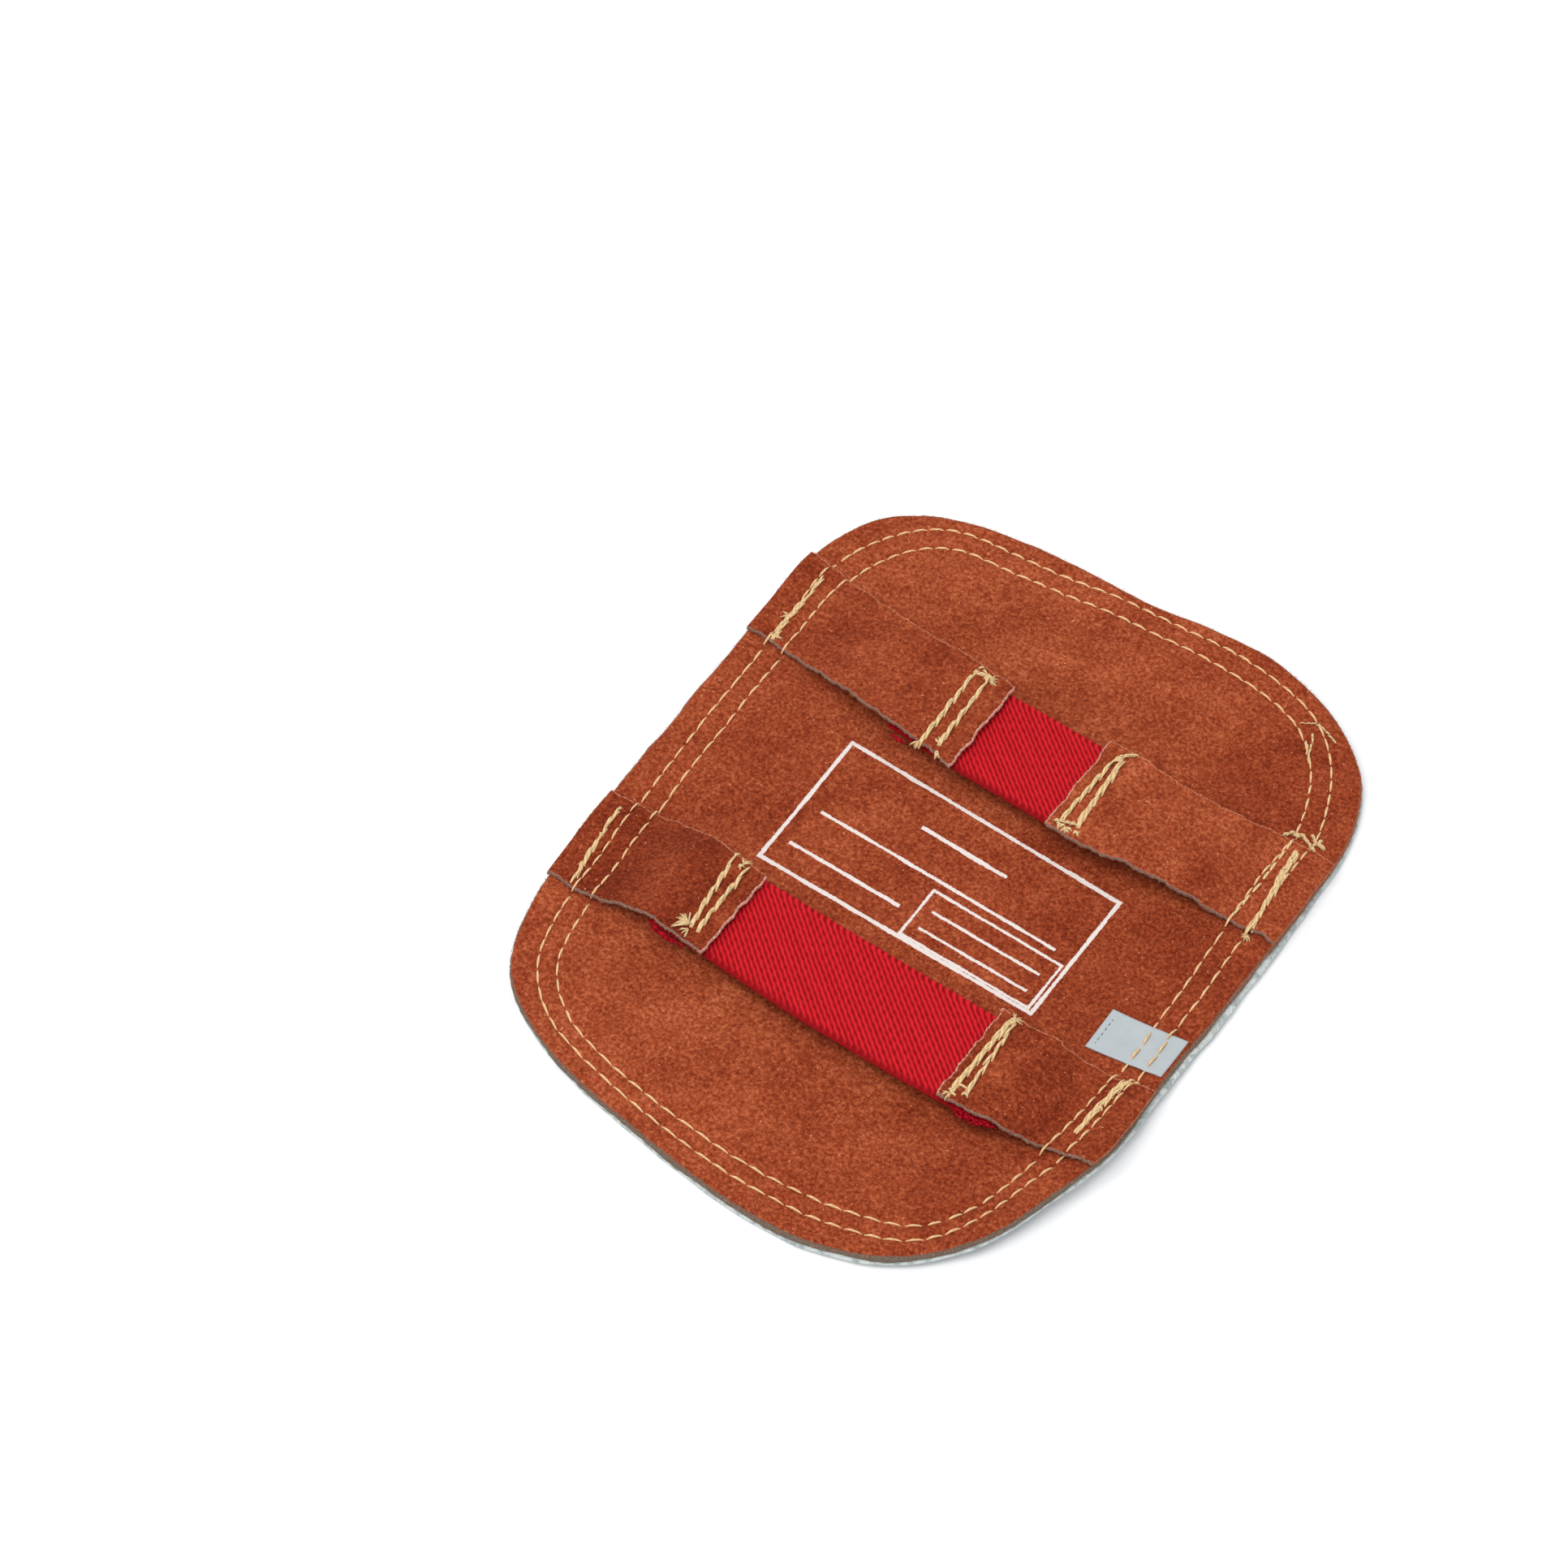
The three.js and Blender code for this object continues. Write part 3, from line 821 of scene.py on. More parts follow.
# %% The print's layout
PRINT_INK = srgb(231, 219, 213)
PRINT_CORNERS = np.array([(-39.2, -20.7), (44.1, -22.4), (44.5, 19.3), (-40.0, 23.5)])
PRINT_WIDE, PRINT_HIGH = 83.9, 43.0
PRINT_ROUNDS = 8
PRINT_MARKS = (
    # centre x, centre y, half width, half height, and the line's half width, or 0 if filled
    (41.95, 21.5, 41.5, 21.0, 0.48),
    (62.6, 9.4, 19.4, 7.9, 0.33),
    (43.0, 31.6, 13.0, 0.5, 0),
    (42.0, 20.4, 36.0, 0.42, 0),
    (21.5, 8.2, 17.0, 0.42, 0),
    (62.6, 11.6, 16.2, 0.33, 0),
    (62.6, 5.6, 16.2, 0.33, 0),
)


def print_place(x, y):
    """Places inside the print's frame: from its left line and from its lowest line."""
    low_left, low_right, high_right, high_left = PRINT_CORNERS
    u = np.full(x.shape, 0.5)
    v = np.full(x.shape, 0.5)
    target = np.stack([x, y], -1)
    for _ in range(PRINT_ROUNDS):
        low = low_left + u[:, None] * (low_right - low_left)
        high = high_left + u[:, None] * (high_right - high_left)
        spot = low + v[:, None] * (high - low)
        by_u = (1 - v)[:, None] * (low_right - low_left) + v[:, None] * (high_right - high_left)
        by_v = high - low
        miss = target - spot
        area = by_u[:, 0] * by_v[:, 1] - by_u[:, 1] * by_v[:, 0]
        u = np.clip(u + (miss[:, 0] * by_v[:, 1] - miss[:, 1] * by_v[:, 0]) / area, -2, 3)
        v = np.clip(v + (by_u[:, 0] * miss[:, 1] - by_u[:, 1] * miss[:, 0]) / area, -3, 4)
    return np.stack([u * PRINT_WIDE, v * PRINT_HIGH, np.zeros(len(u))], -1)


def print_mask(tree, where):
    """1 where there is ink."""
    parts = add_node(tree, "ShaderNodeSeparateXYZ", {0: attribute(tree, "print_at", "Vector")})
    nearest = None
    for at_x, at_y, half_wide, half_high, line in PRINT_MARKS:
        off_x = calc(tree, "ABSOLUTE", calc(tree, "SUBTRACT", parts.outputs[0], at_x))
        off_y = calc(tree, "ABSOLUTE", calc(tree, "SUBTRACT", parts.outputs[1], at_y))
        off = calc(tree, "MAXIMUM", calc(tree, "SUBTRACT", off_x, half_wide),
                   calc(tree, "SUBTRACT", off_y, half_high))
        if line:
            off = calc(tree, "SUBTRACT", calc(tree, "ABSOLUTE", off), line)
        nearest = off if nearest is None else calc(tree, "MINIMUM", nearest, off)
    ragged = calc(tree, "MULTIPLY_ADD", noise(tree, where, 0.8, 2.0, 0.6), 0.6, nearest)
    worn = calc(tree, "MULTIPLY_ADD", noise(tree, where, 9.0, 1.0, 0.5, 0.4), 0.5, ragged)
    return calc(tree, "SUBTRACT", 1.0, ramp(tree, worn, 0.50, 0.72))


pad_suede, tree, shader, colour = suede_material("pad_suede", 0.13)
inked = blend(tree, print_mask(tree, place(tree)), colour, PRINT_INK)
tree.links.new(inked, shader.inputs["Base Color"])
print("the print has", len(PRINT_MARKS), "marks")

# %% [markdown]
# ## The suede backing
# The backing has the pad's whole outline. Its shown side is a fine grid, three quarters
# of a millimetre apart, so that the stitch valleys and the dents are real shapes. Its cut
# edge is a wall that bulges and wavers a little, as a knife leaves it in soft hide.

# %% The suede backing
PAD_LANES = 270
WALL_STEPS = ((0.25, 0.18), (0.42, 0.5), (0.36, 0.85))
CAP_SHARES = (0.97, 0.8, 0.4)
CAP_LIFT = 0.02
CAP_FLOOR = SUEDE_FLOOR - GAP + CAP_LIFT
EDGE_GREY = np.array(srgb(110, 104, 92))
EDGE_ORANGE = np.array(srgb(162, 92, 64))
EDGE_GREY_BEARING = math.radians(285)
EDGE_WALKED = 100
FUZZ_REACH = 0.60
FUZZ_FADE = 1.2


def edge_spots(bearing, out):
    """Places a little way out of the suede's cut edge."""
    r = rim(REACH, bearing) + out
    return r * np.cos(bearing), r * np.sin(bearing)


def pad_shade(x, y):
    """How much darker the suede is: its own tone, and painted shade in dents and on the right."""
    between = np.exp(-(y / 26)**4) * 0.07
    # Painted shade: the suede is darker in its dents and towards its right side.
    dent_shade = 0.16 * np.clip(-dents(x, y), 0, 1)
    right_side_shade = 0.13 * np.clip((x - 5) / 60, 0, 1)
    # Random patches, partly the nap's own tone and partly painted shading of soft folds.
    uneven = 0.06 * mottle(x, y, 26, 8) + 0.04 * mottle(x, y, 11, 9)
    return between + dent_shade + right_side_shade + uneven - 0.06


def make_suede_backing():
    bearing, share = pad_grid(PAD_LANES)
    r = rim(REACH, bearing) * share
    x, y = r * np.cos(bearing), r * np.sin(bearing)
    nap = 0.05 * mottle(x, y, 3.2, 5) + 0.07 * mottle(x, y, 9, 6)
    shown = np.stack([x, y, suede_height(x, y) + nap], 1)
    edge = grid_edge(PAD_LANES, PAD_LANES)
    around = bearing[edge]
    walked = around * EDGE_WALKED
    walls = []
    for k, (out, down) in enumerate(WALL_STEPS):
        fray = 0.07 * wander(walked, 2.6, 31 + k) + 0.20 * wander(walked, 17, 41)
        wx, wy = edge_spots(around, out + fray)
        top = shown[edge, 2]
        bottom = floor_height(x[edge], y[edge]) + CAP_FLOOR - CAP_LIFT
        walls.append(np.stack([wx, wy, top + (bottom - top) * down], 1))
    cap = []
    for ring in CAP_SHARES:
        cx, cy = x[edge] * ring, y[edge] * ring
        cap.append(np.stack([cx, cy, floor_height(cx, cy) + CAP_FLOOR], 1))
    cap.append(np.array([[0, 0, CAP_FLOOR]]))
    made, cut = closed_sheet("suede_backing", (PAD_LANES, PAD_LANES), shown, walls, cap=cap)
    px, py = places_of(made)
    near = np.clip(FUZZ_REACH - inset_of(px, py) * FUZZ_FADE, 0, 1)
    store(made, "cut", np.maximum(cut, near))
    store(made, "print_at", print_place(px, py))
    store(made, "shade", pad_shade(px, py))
    facing = np.cos(np.arctan2(py, px) - EDGE_GREY_BEARING)
    grey = np.clip(0.5 + 0.9 * facing, 0, 1)[:, None]
    store(made, "edge_colour", grey * EDGE_GREY[:3] + (1 - grey) * EDGE_ORANGE[:3])
    made.data.materials.append(pad_suede)
    return made


def finish_piece(piece, node=None):
    """Puts a piece on the body and, given a solid's name, hides that solid in its place."""
    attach(piece, BODY)
    if node:
        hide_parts(node)
    return piece


suede_backing = make_suede_backing()
finish_piece(suede_backing, "leather_backing")
print("suede backing:", len(suede_backing.data.polygons), "faces")

# %% [markdown]
# ## The aluminized face
# The face is a twill cloth with a bright aluminium film bonded to it. The film takes the
# twill's diagonal ribs, which turn back in bands, and every bend leaves soft dents. The
# dents are real shapes on the side that faces down, and the twill, finer than any mesh, is
# in the material. It shines in broken patches, partly from those dents and partly as a
# painted reflection: bright and grey patches in the film's colour. Its cut edge shows the
# white cloth.

# %% The aluminized material
TWILL_PITCH = 1.25
TWILL_BAND = 11.0
FILM = srgb(238, 242, 244)
FILM_SHADED = srgb(188, 199, 204)
TWILL_LINE = srgb(126, 142, 150)
CLOTH_WHITE = srgb(208, 214, 211)
CLOTH_GREY = srgb(160, 167, 164)


def aluminized_material():
    material, tree, shader = new_material("aluminized_cloth", metallic=1.0)
    where = place(tree)
    parts = add_node(tree, "ShaderNodeSeparateXYZ", {0: where})
    x = calc(tree, "DIVIDE", parts.outputs[0], MM)
    y = calc(tree, "DIVIDE", parts.outputs[1], MM)
    x = calc(tree, "MULTIPLY_ADD", noise(tree, where, 14, 1.0), 1.8, x)
    turned = calc(tree, "PINGPONG", calc(tree, "MULTIPLY_ADD", x, 0.25, y), TWILL_BAND)
    phase = calc(tree, "DIVIDE", calc(tree, "MULTIPLY_ADD", turned, 0.85, x), TWILL_PITCH)
    rib = calc(tree, "SINE", calc(tree, "MULTIPLY", phase, TURN))
    crinkle = noise(tree, where, 1.6, 4.0, 0.65)
    height = calc(tree, "MULTIPLY_ADD", rib, 0.22, crinkle)
    add_bump(tree, shader, height, 0.6, 0.00035)
    dull = ramp(tree, noise(tree, where, 22, 3.0, 0.6), 0.3, 0.7)
    roughness = calc(tree, "MULTIPLY_ADD", crinkle, 0.2, 0.14)
    roughness = calc(tree, "MULTIPLY_ADD", dull, 0.14, roughness)
    ragged = noise(tree, where, 0.7, 2.0)
    cut = calc(tree, "MULTIPLY_ADD", ragged, 0.5, attribute(tree, "cut"))
    cut = ramp(tree, cut, 0.75, 1.0)
    tree.links.new(calc(tree, "MAXIMUM", roughness, cut), shader.inputs["Roughness"])
    tree.links.new(calc(tree, "SUBTRACT", 1.0, cut), shader.inputs["Metallic"])
    # Painted reflection: the film's colour runs from grey to bright in soft patches and crinkles.
    soft = ramp(tree, noise(tree, where, 24, 2.0, 0.5, 0.2), 0.28, 0.72)
    broken_glint = calc(tree, "MULTIPLY_ADD", rib, 0.07, -0.25)
    broken_glint = calc(tree, "MULTIPLY_ADD", crinkle, 0.5, broken_glint)
    bright = calc(tree, "ADD", soft, broken_glint, clamp=True)
    tint = blend(tree, bright, FILM_SHADED, FILM)
    lines = calc(tree, "MULTIPLY", ramp(tree, rib, -0.2, 1.0), 0.16)
    tint = blend(tree, lines, tint, TWILL_LINE)
    weave = ramp(tree, noise(tree, where, 2.2, 3.0, 0.5), 0.35, 0.70)
    fuzz = blend(tree, weave, CLOTH_WHITE, CLOTH_GREY)
    tree.links.new(blend(tree, cut, tint, fuzz), shader.inputs["Base Color"])
    return material


aluminized_cloth = aluminized_material()
print("twill pitch", TWILL_PITCH, "mm in bands of", TWILL_BAND, "mm")

# %% The aluminized face
FACE_LANES = 250
FACE_DENT = 0.75
FACE_WALLS = (0.3, 0.6, 0.92)
FACE_CAPS = (0.985, 0.9, 0.6, 0.3)
FACE_CAP = FACE_THICK - 0.02
TUCK_SHARE = 0.8
TUCK_BEARING = math.radians(236)
TUCK_WIDE = 0.6


def shown_overhang(bearing):
    """How far the cloth shows past the suede: at the lower left the suede leans over it."""
    off = (np.mod(bearing, TURN) - TUCK_BEARING) / TUCK_WIDE
    return rim(OVERHANG, bearing) * (1 - TUCK_SHARE * np.exp(-off**2))


def face_underside(x, y):
    """The shown side of the face, which looks down: dents go up, off the floor."""
    inset = inset_of(x, y)
    rows = sum(row.valley(x, y, inset) for row in ROWS.values())
    soft = 0.5 + 0.5 * mottle(x, y, 46, 12)
    sharp = np.abs(mottle(x, y, 17, 13))
    dent = FACE_DENT * np.clip(0.7 * soft + 0.35 * sharp, 0, 1)
    return floor_height(x, y) + dent * np.clip(inset / 8, 0.25, 1) + 0.45 * rows


def make_aluminized_face():
    bearing, share = pad_grid(FACE_LANES)
    r = (rim(REACH, bearing) + shown_overhang(bearing) - 0.15) * share
    x, y = r * np.cos(bearing), r * np.sin(bearing)
    shown = np.stack([x, y, face_underside(x, y)], 1)
    edge = grid_edge(FACE_LANES, FACE_LANES)
    around = bearing[edge]
    walked = around * EDGE_WALKED
    walls = []
    for k, up in enumerate(FACE_WALLS):
        fray = 0.02 * wander(walked, 2.1, 51 + k) + 0.14 * wander(walked, 14, 55)
        out = shown_overhang(around) - 0.05 * (k != 1) + fray
        wx, wy = edge_spots(around, out)
        walls.append(np.stack([wx, wy, floor_height(x[edge], y[edge]) + FACE_THICK * up], 1))
    cap = []
    for ring in FACE_CAPS:
        cx, cy = x[edge] * ring, y[edge] * ring
        cap.append(np.stack([cx, cy, floor_height(cx, cy) + FACE_CAP], 1))
    cap.append(np.array([[0, 0, FACE_CAP]]))
    size = (FACE_LANES, FACE_LANES)
    made, cut = closed_sheet("aluminized_face_cloth", size, shown, walls, cap=cap)
    cut[len(shown):] = 1
    store(made, "cut", cut)
    made.data.materials.append(aluminized_cloth)
    return made


aluminized_face_cloth = make_aluminized_face()
finish_piece(aluminized_face_cloth, "aluminized_face")
print("aluminized face:", len(aluminized_face_cloth.data.polygons), "faces")

# %% [markdown]
# ## The suede tabs
# Each tab is a strip of the same suede, sewn down at the pad's side and free towards the
# middle. It bends as thick leather does, so its surface is a grid over the strap's
# cross-sections with a little waviness of its own, and its long edges waver.

# %% The suede tabs
TAB_STEP = 0.55
TAB_EDGE_OUT = 0.15
TAB_THIN = 0.55
TAB_PAST_EDGE = 0.30
TAB_FUZZ_REACH = 0.58
TAB_WALL_STEPS = ((0.7, 0.12), (1.0, 0.4), (1.0, 0.68), (0.6, 0.9))
TACK_DEEP = 0.42
TACK_WIDE = 1.15
SIDE_BLEND = 0.5
BEND_AT, BEND_WIDE = 0.35, 0.25
TAB_SHADES = {
    "upper_left_tab": 0.06, "upper_right_tab": -0.04,
    "lower_left_tab": 0.26, "lower_right_tab": 0.16,
}
# Colours of a tab's low side, high side, inner end and outer end
TAB_SIDES = np.array([
    srgb(146, 120, 107), srgb(240, 152, 114), srgb(250, 190, 170), srgb(186, 104, 72),
])[:, :3]


def side_colours(size):
    """For each point of a tab's grid, the colour of the cut edge next to it."""
    i, j = np.meshgrid(np.arange(size[0] + 1), np.arange(size[1] + 1))
    gaps = np.stack([i, size[0] - i, size[1] - j, j], -1) * TAB_STEP
    weight = np.exp(-gaps / SIDE_BLEND)
    weight /= weight.sum(-1, keepdims=True)
    return (weight @ TAB_SIDES).reshape(-1, 3), gaps


def line_valley(x, y, lines):
    """How deep sewn lines pull the leather down at a place."""
    total = 0
    for x0, y0, x1, y1, _ in lines:
        length = math.dist((x0, y0), (x1, y1))
        along = np.clip(((x - x0) * (x1 - x0) + (y - y0) * (y1 - y0)) / length**2, 0, 1)
        off = np.hypot(x - x0 - along * (x1 - x0), y - y0 - along * (y1 - y0))
        total = np.maximum(total, TACK_DEEP * np.exp(-(off / TACK_WIDE)**2))
    return total


def tab_grid(rows, seed):
    """The plan of a tab's grid: along the strap and across it, with wavering edges."""
    length = abs(rows[-1][STRIP_X] - rows[0][STRIP_X])
    along = int(length / TAB_STEP)
    across = int(rows[0][STRIP_WIDE] / TAB_STEP)
    sections = strip_samples(rows, along + 1)
    share = np.linspace(-1, 1, across + 1)
    x = np.repeat(sections[:, STRIP_X], across + 1).reshape(along + 1, across + 1)
    half = sections[:, STRIP_WIDE] / 2 - TAB_EDGE_OUT
    station = sections[:, STRIP_X]
    low = half + 0.24 * wander(station, 7, seed) + 0.11 * wander(station, 1.9, seed + 1)
    high = half + 0.24 * wander(station, 8, seed + 2) + 0.09 * wander(station, 2.1, seed + 3)
    y = sections[:, STRIP_Y, None] + np.where(share < 0, low[:, None], high[:, None]) * share
    rise = np.repeat(sections[:, STRIP_RISE], across + 1).reshape(x.shape)
    end = np.linspace(0, 1, along + 1)[:, None]**12
    into = np.sign(rows[-1][STRIP_X] - rows[0][STRIP_X])
    ragged = 0.25 * wander(y, 9, seed + 4) + 0.12 * wander(y, 2.2, seed + 5)
    x = x + into * end * (ragged - TAB_EDGE_OUT)
    x = inside_edge(x, y, -TAB_PAST_EDGE)
    return x, y, rise, (across, along)


def outward(grid, size):
    """For each edge point of a grid in plan, the direction away from the grid."""
    across, along = size
    near = grid[1:-1, 1:-1]
    inner = np.pad(near, ((1, 1), (1, 1), (0, 0)), mode="edge").reshape(-1, 2)
    edge = grid_edge(across, along)
    away = grid.reshape(-1, 2)[edge] - inner[edge]
    return away / np.maximum(np.linalg.norm(away, axis=1, keepdims=True), 1e-9)


# %% The tabs' pieces
TAB_WALLS = {}


def make_tab(name, seed):
    """One tab, from the surface of its table to a closed sheet with its shades."""
    rows = TABS[name]
    x, y, rise, size = tab_grid(rows, seed)
    under = tab_floor(x, y, rise) - GAP * (1 - rise) + 0.03
    wave = 0.22 * mottle(x, y, 21, seed + 6) * rise + 0.05 * mottle(x, y, 4.5, seed + 7)
    under = under + wave
    pulled = line_valley(x, y, SEWN[name]["tack"])
    for row in ROWS.values():
        pulled = np.maximum(pulled, 0.7 * (1 - rise) * row.valley(x, y, inset_of(x, y)))
    top = under + TAB_THICK + GAP * (1 - rise) * 0.5 - pulled
    under = under + TAB_THIN
    shown = np.stack([x, y, top], -1).reshape(-1, 3)
    hidden = np.stack([x, y, under], -1).reshape(-1, 3)
    edge = grid_edge(*size)
    away = outward(np.stack([x, y], -1), size)
    walls = []
    walked = np.arange(len(edge)) * TAB_STEP
    for k, (out, down) in enumerate(TAB_WALL_STEPS):
        fray = out * TAB_EDGE_OUT + 0.11 * wander(walked, 1.3, seed + 8 + k)
        plan = shown[edge, :2] + away * fray[:, None]
        height = shown[edge, 2] + (hidden[edge, 2] - shown[edge, 2]) * down
        walls.append(np.concatenate([plan, height[:, None]], 1))
    TAB_WALLS[name] = (walls[1], away)
    made, cut = closed_sheet(name + "_suede", size, shown, walls, hidden=hidden)
    sides, gaps = side_colours(size)
    from_end = gaps[..., 2].ravel()
    from_edge = np.minimum(np.minimum(gaps[..., 0], gaps[..., 1]).ravel(), from_end * 0.8)
    cut[:len(shown)] = np.clip(TAB_FUZZ_REACH - from_edge * FUZZ_FADE, 0, 1)
    store(made, "cut", cut)
    store(made, "edge_colour", np.concatenate([sides] + [sides[edge]] * len(walls) + [sides]))
    px, py = places_of(made)
    # Painted shade at the tab's bend, and patches: partly own tone, partly painted shading of folds.
    bend = np.exp(-((rise.ravel() - BEND_AT) / BEND_WIDE)**2)
    bend = np.concatenate([bend] + [bend[edge]] * len(walls) + [bend])
    store(made, "shade", TAB_SHADES[name] + 0.07 * bend + 0.10 * mottle(px, py, 15, seed + 12))
    made.data.materials.append(tab_suede)
    return finish_piece(made, name)


tabs = {name: make_tab(name, 100 + 20 * k) for k, name in enumerate(TABS)}
for name, piece in tabs.items():
    print(name, len(piece.data.polygons), "faces")

# %% [markdown]
# ## The red elastic
# The webs are woven elastic. The red yarns float over the rubber in diagonal ribs, which
# run from the upper left to the lower right at thirty-eight degrees, one and a quarter
# millimetres apart, and every two millimetres along the strap a rib dips under the weft.
# At the lower edge each rib turns back in a small hook. The ribs are a repeating height
# on a fine grid, so they are real relief, and the same height darkens the valleys. Towards
# the low edge and on the edges' walls the red is darkened further, as painted shade.

# %% The elastic material
ELASTIC_RED = srgb(213, 30, 40)
ELASTIC_DEEP = srgb(134, 0, 8)
ELASTIC_SHEEN = srgb(255, 90, 90)


def elastic_material():
    material, tree, shader = new_material(
        "red_elastic", roughness=0.75, specular_ior_level=0.12,
        sheen_weight=0.05, sheen_roughness=0.4, sheen_tint=ELASTIC_SHEEN)
    where = place(tree)
    fibre = noise(tree, where, 0.35, 2.0, 0.6)
    rib = calc(tree, "MULTIPLY_ADD", fibre, 0.35, attribute(tree, "rib"))
    colour = blend(tree, ramp(tree, rib, 0.25, 1.0), ELASTIC_DEEP, ELASTIC_RED)
    tree.links.new(colour, shader.inputs["Base Color"])
    add_bump(tree, shader, fibre, 0.4, 0.00015)
    return material


red_elastic = elastic_material()
print("elastic materials:", red_elastic.name)

# %% The elastic webs
WEB_STEP = 0.33
RIB_HEADING = math.radians(-38)
RIB_PITCH = 1.23
RIB_HEIGHT = 0.30
FLOAT_LENGTH = 2.12
HOOK_WIDE = 1.6
WEB_WALLS = (0.3, 0.7)
WEB_EDGE_DROP = 0.35
WEB_SLACK = 0.12


def ribs(x, across, half):
    """The height of the weave, from 0 to 1, at places along the web and across it."""
    from_low = across + half
    hook = np.clip(1 - from_low / HOOK_WIDE, 0, 1)
    from_high = np.clip(1 - (half - across) / HOOK_WIDE, 0, 1)
    bent = across + 0.9 * HOOK_WIDE * hook**2 - 0.5 * HOOK_WIDE * from_high**2
    square = x * -math.sin(RIB_HEADING) + bent * math.cos(RIB_HEADING)
    lean = 0.055 * np.sin(x / FLOAT_LENGTH * TURN) + 0.04 * mottle(x, across, 5, 21)
    wave = 0.5 + 0.5 * np.cos((square / RIB_PITCH + lean) * TURN)
    floats = np.cos(x / FLOAT_LENGTH * TURN)
    uneven = 0.05 * mottle(x, across, 2.4, 22) + 0.03 * mottle(x, across, 5.5, 23)
    return np.clip(wave**0.8 * (0.82 + 0.12 * floats) + uneven, 0, 1)


def make_web(name, seed):
    """One elastic web: the weave's relief on both sides and a knobbly edge."""
    rows = WEBS[name]
    length = rows[-1][STRIP_X] - rows[0][STRIP_X]
    size = (int(rows[0][STRIP_WIDE] / WEB_STEP), int(length / WEB_STEP))
    sections = strip_samples(rows, size[1] + 1)
    share = np.linspace(-1, 1, size[0] + 1)
    half = sections[:, STRIP_WIDE, None] / 2
    x = np.repeat(sections[:, STRIP_X, None], size[0] + 1, 1)
    y = sections[:, STRIP_Y, None] + half * share
    weave = ribs(x, y - sections[:, STRIP_Y, None], half)
    slack = WEB_SLACK * mottle(x, y, 30, seed)
    edge_drop = WEB_EDGE_DROP * np.abs(share)[None, :]**10
    top = WEB_FLOOR + WEB_THICK + slack - RIB_HEIGHT * (1 - weave) - edge_drop
    under = WEB_FLOOR + slack + RIB_HEIGHT * (1 - weave) + edge_drop
    shown = np.stack([x, y, top], -1).reshape(-1, 3)
    hidden = np.stack([x, y, under], -1).reshape(-1, 3)
    edge = grid_edge(*size)
    away = outward(np.stack([x, y], -1), size)
    walls = []
    for down in WEB_WALLS:
        knob = 0.08 + 0.14 * weave.ravel()[edge]
        plan = shown[edge, :2] + away * knob[:, None]
        height = shown[edge, 2] + (hidden[edge, 2] - shown[edge, 2]) * down
        walls.append(np.concatenate([plan, height[:, None]], 1))
    made, _ = closed_sheet(name + "_web", size, shown, walls, hidden=hidden)
    # Painted shade: the weave's tone darkens towards the low edge, and the walls darker still.
    from_low = (1 + share[None, :]) * half
    tone = (weave * (1 - 0.8 * np.exp(-(from_low / 1.3)**2))).ravel()
    side = 0.3 * tone[edge]
    store(made, "rib", np.concatenate([tone, side, side, weave.ravel() * 0.6]))
    made.data.materials.append(red_elastic)
    return finish_piece(made, name)


webs = {name: make_web(name, 200 + 10 * k) for k, name in enumerate(WEBS)}
for name, piece in webs.items():
    print(name, len(piece.data.polygons), "faces")

# %% [markdown]
# ## The label
# A small label of pale satin tape is caught in the right side seam. It is thin and
# smooth, and its free end stands up a little. A row of short dashes is printed near that
# end. The two rows of stitches cross it later.

# %% The label
LABEL_STEP = 0.5
LABEL_CURL = 0.5
LABEL_FREE = 9
LABEL_LIFT = 0.05
LABEL_PALE = srgb(168, 176, 179)
LABEL_LIGHT = srgb(184, 190, 192)
LABEL_INK = srgb(40, 60, 90)
LABEL_DASH_AT = 1.6
DASH_LONG = 1.0
DASH_HALF_WIDE = 0.12
DASH_PITCH = 1.7
DASH_MIDDLE, DASH_REACH = 6.0, 4.2


def label_material():
    material, tree, shader = new_material(
        "white_tape", roughness=0.5, specular_ior_level=0.35, sheen_weight=0.1)
    where = place(tree)
    parts = add_node(tree, "ShaderNodeSeparateXYZ", {0: attribute(tree, "label_at", "Vector")})
    across = calc(tree, "SUBTRACT", parts.outputs[0], LABEL_DASH_AT)
    across = calc(tree, "LESS_THAN", calc(tree, "ABSOLUTE", across), DASH_HALF_WIDE)
    along = calc(tree, "PINGPONG", parts.outputs[1], DASH_PITCH / 2)
    along = calc(tree, "LESS_THAN", along, DASH_LONG / 2)
    dash = calc(tree, "MULTIPLY", across, along)
    within = calc(tree, "ABSOLUTE", calc(tree, "SUBTRACT", parts.outputs[1], DASH_MIDDLE))
    within = calc(tree, "LESS_THAN", within, DASH_REACH)
    ink = calc(tree, "MULTIPLY", dash, within)
    warp = add_node(tree, "ShaderNodeTexWave", {
        "Vector": where, "Scale": 700.0, "Distortion": 1.0}, bands_direction="X")
    colour = blend(tree, noise(tree, where, 5, 1.0), LABEL_PALE, LABEL_LIGHT)
    colour = blend(tree, calc(tree, "MULTIPLY", ink, 0.85), colour, LABEL_INK)
    tree.links.new(colour, shader.inputs["Base Color"])
    add_bump(tree, shader, warp.outputs["Fac"], 0.15, 0.0001)
    return material


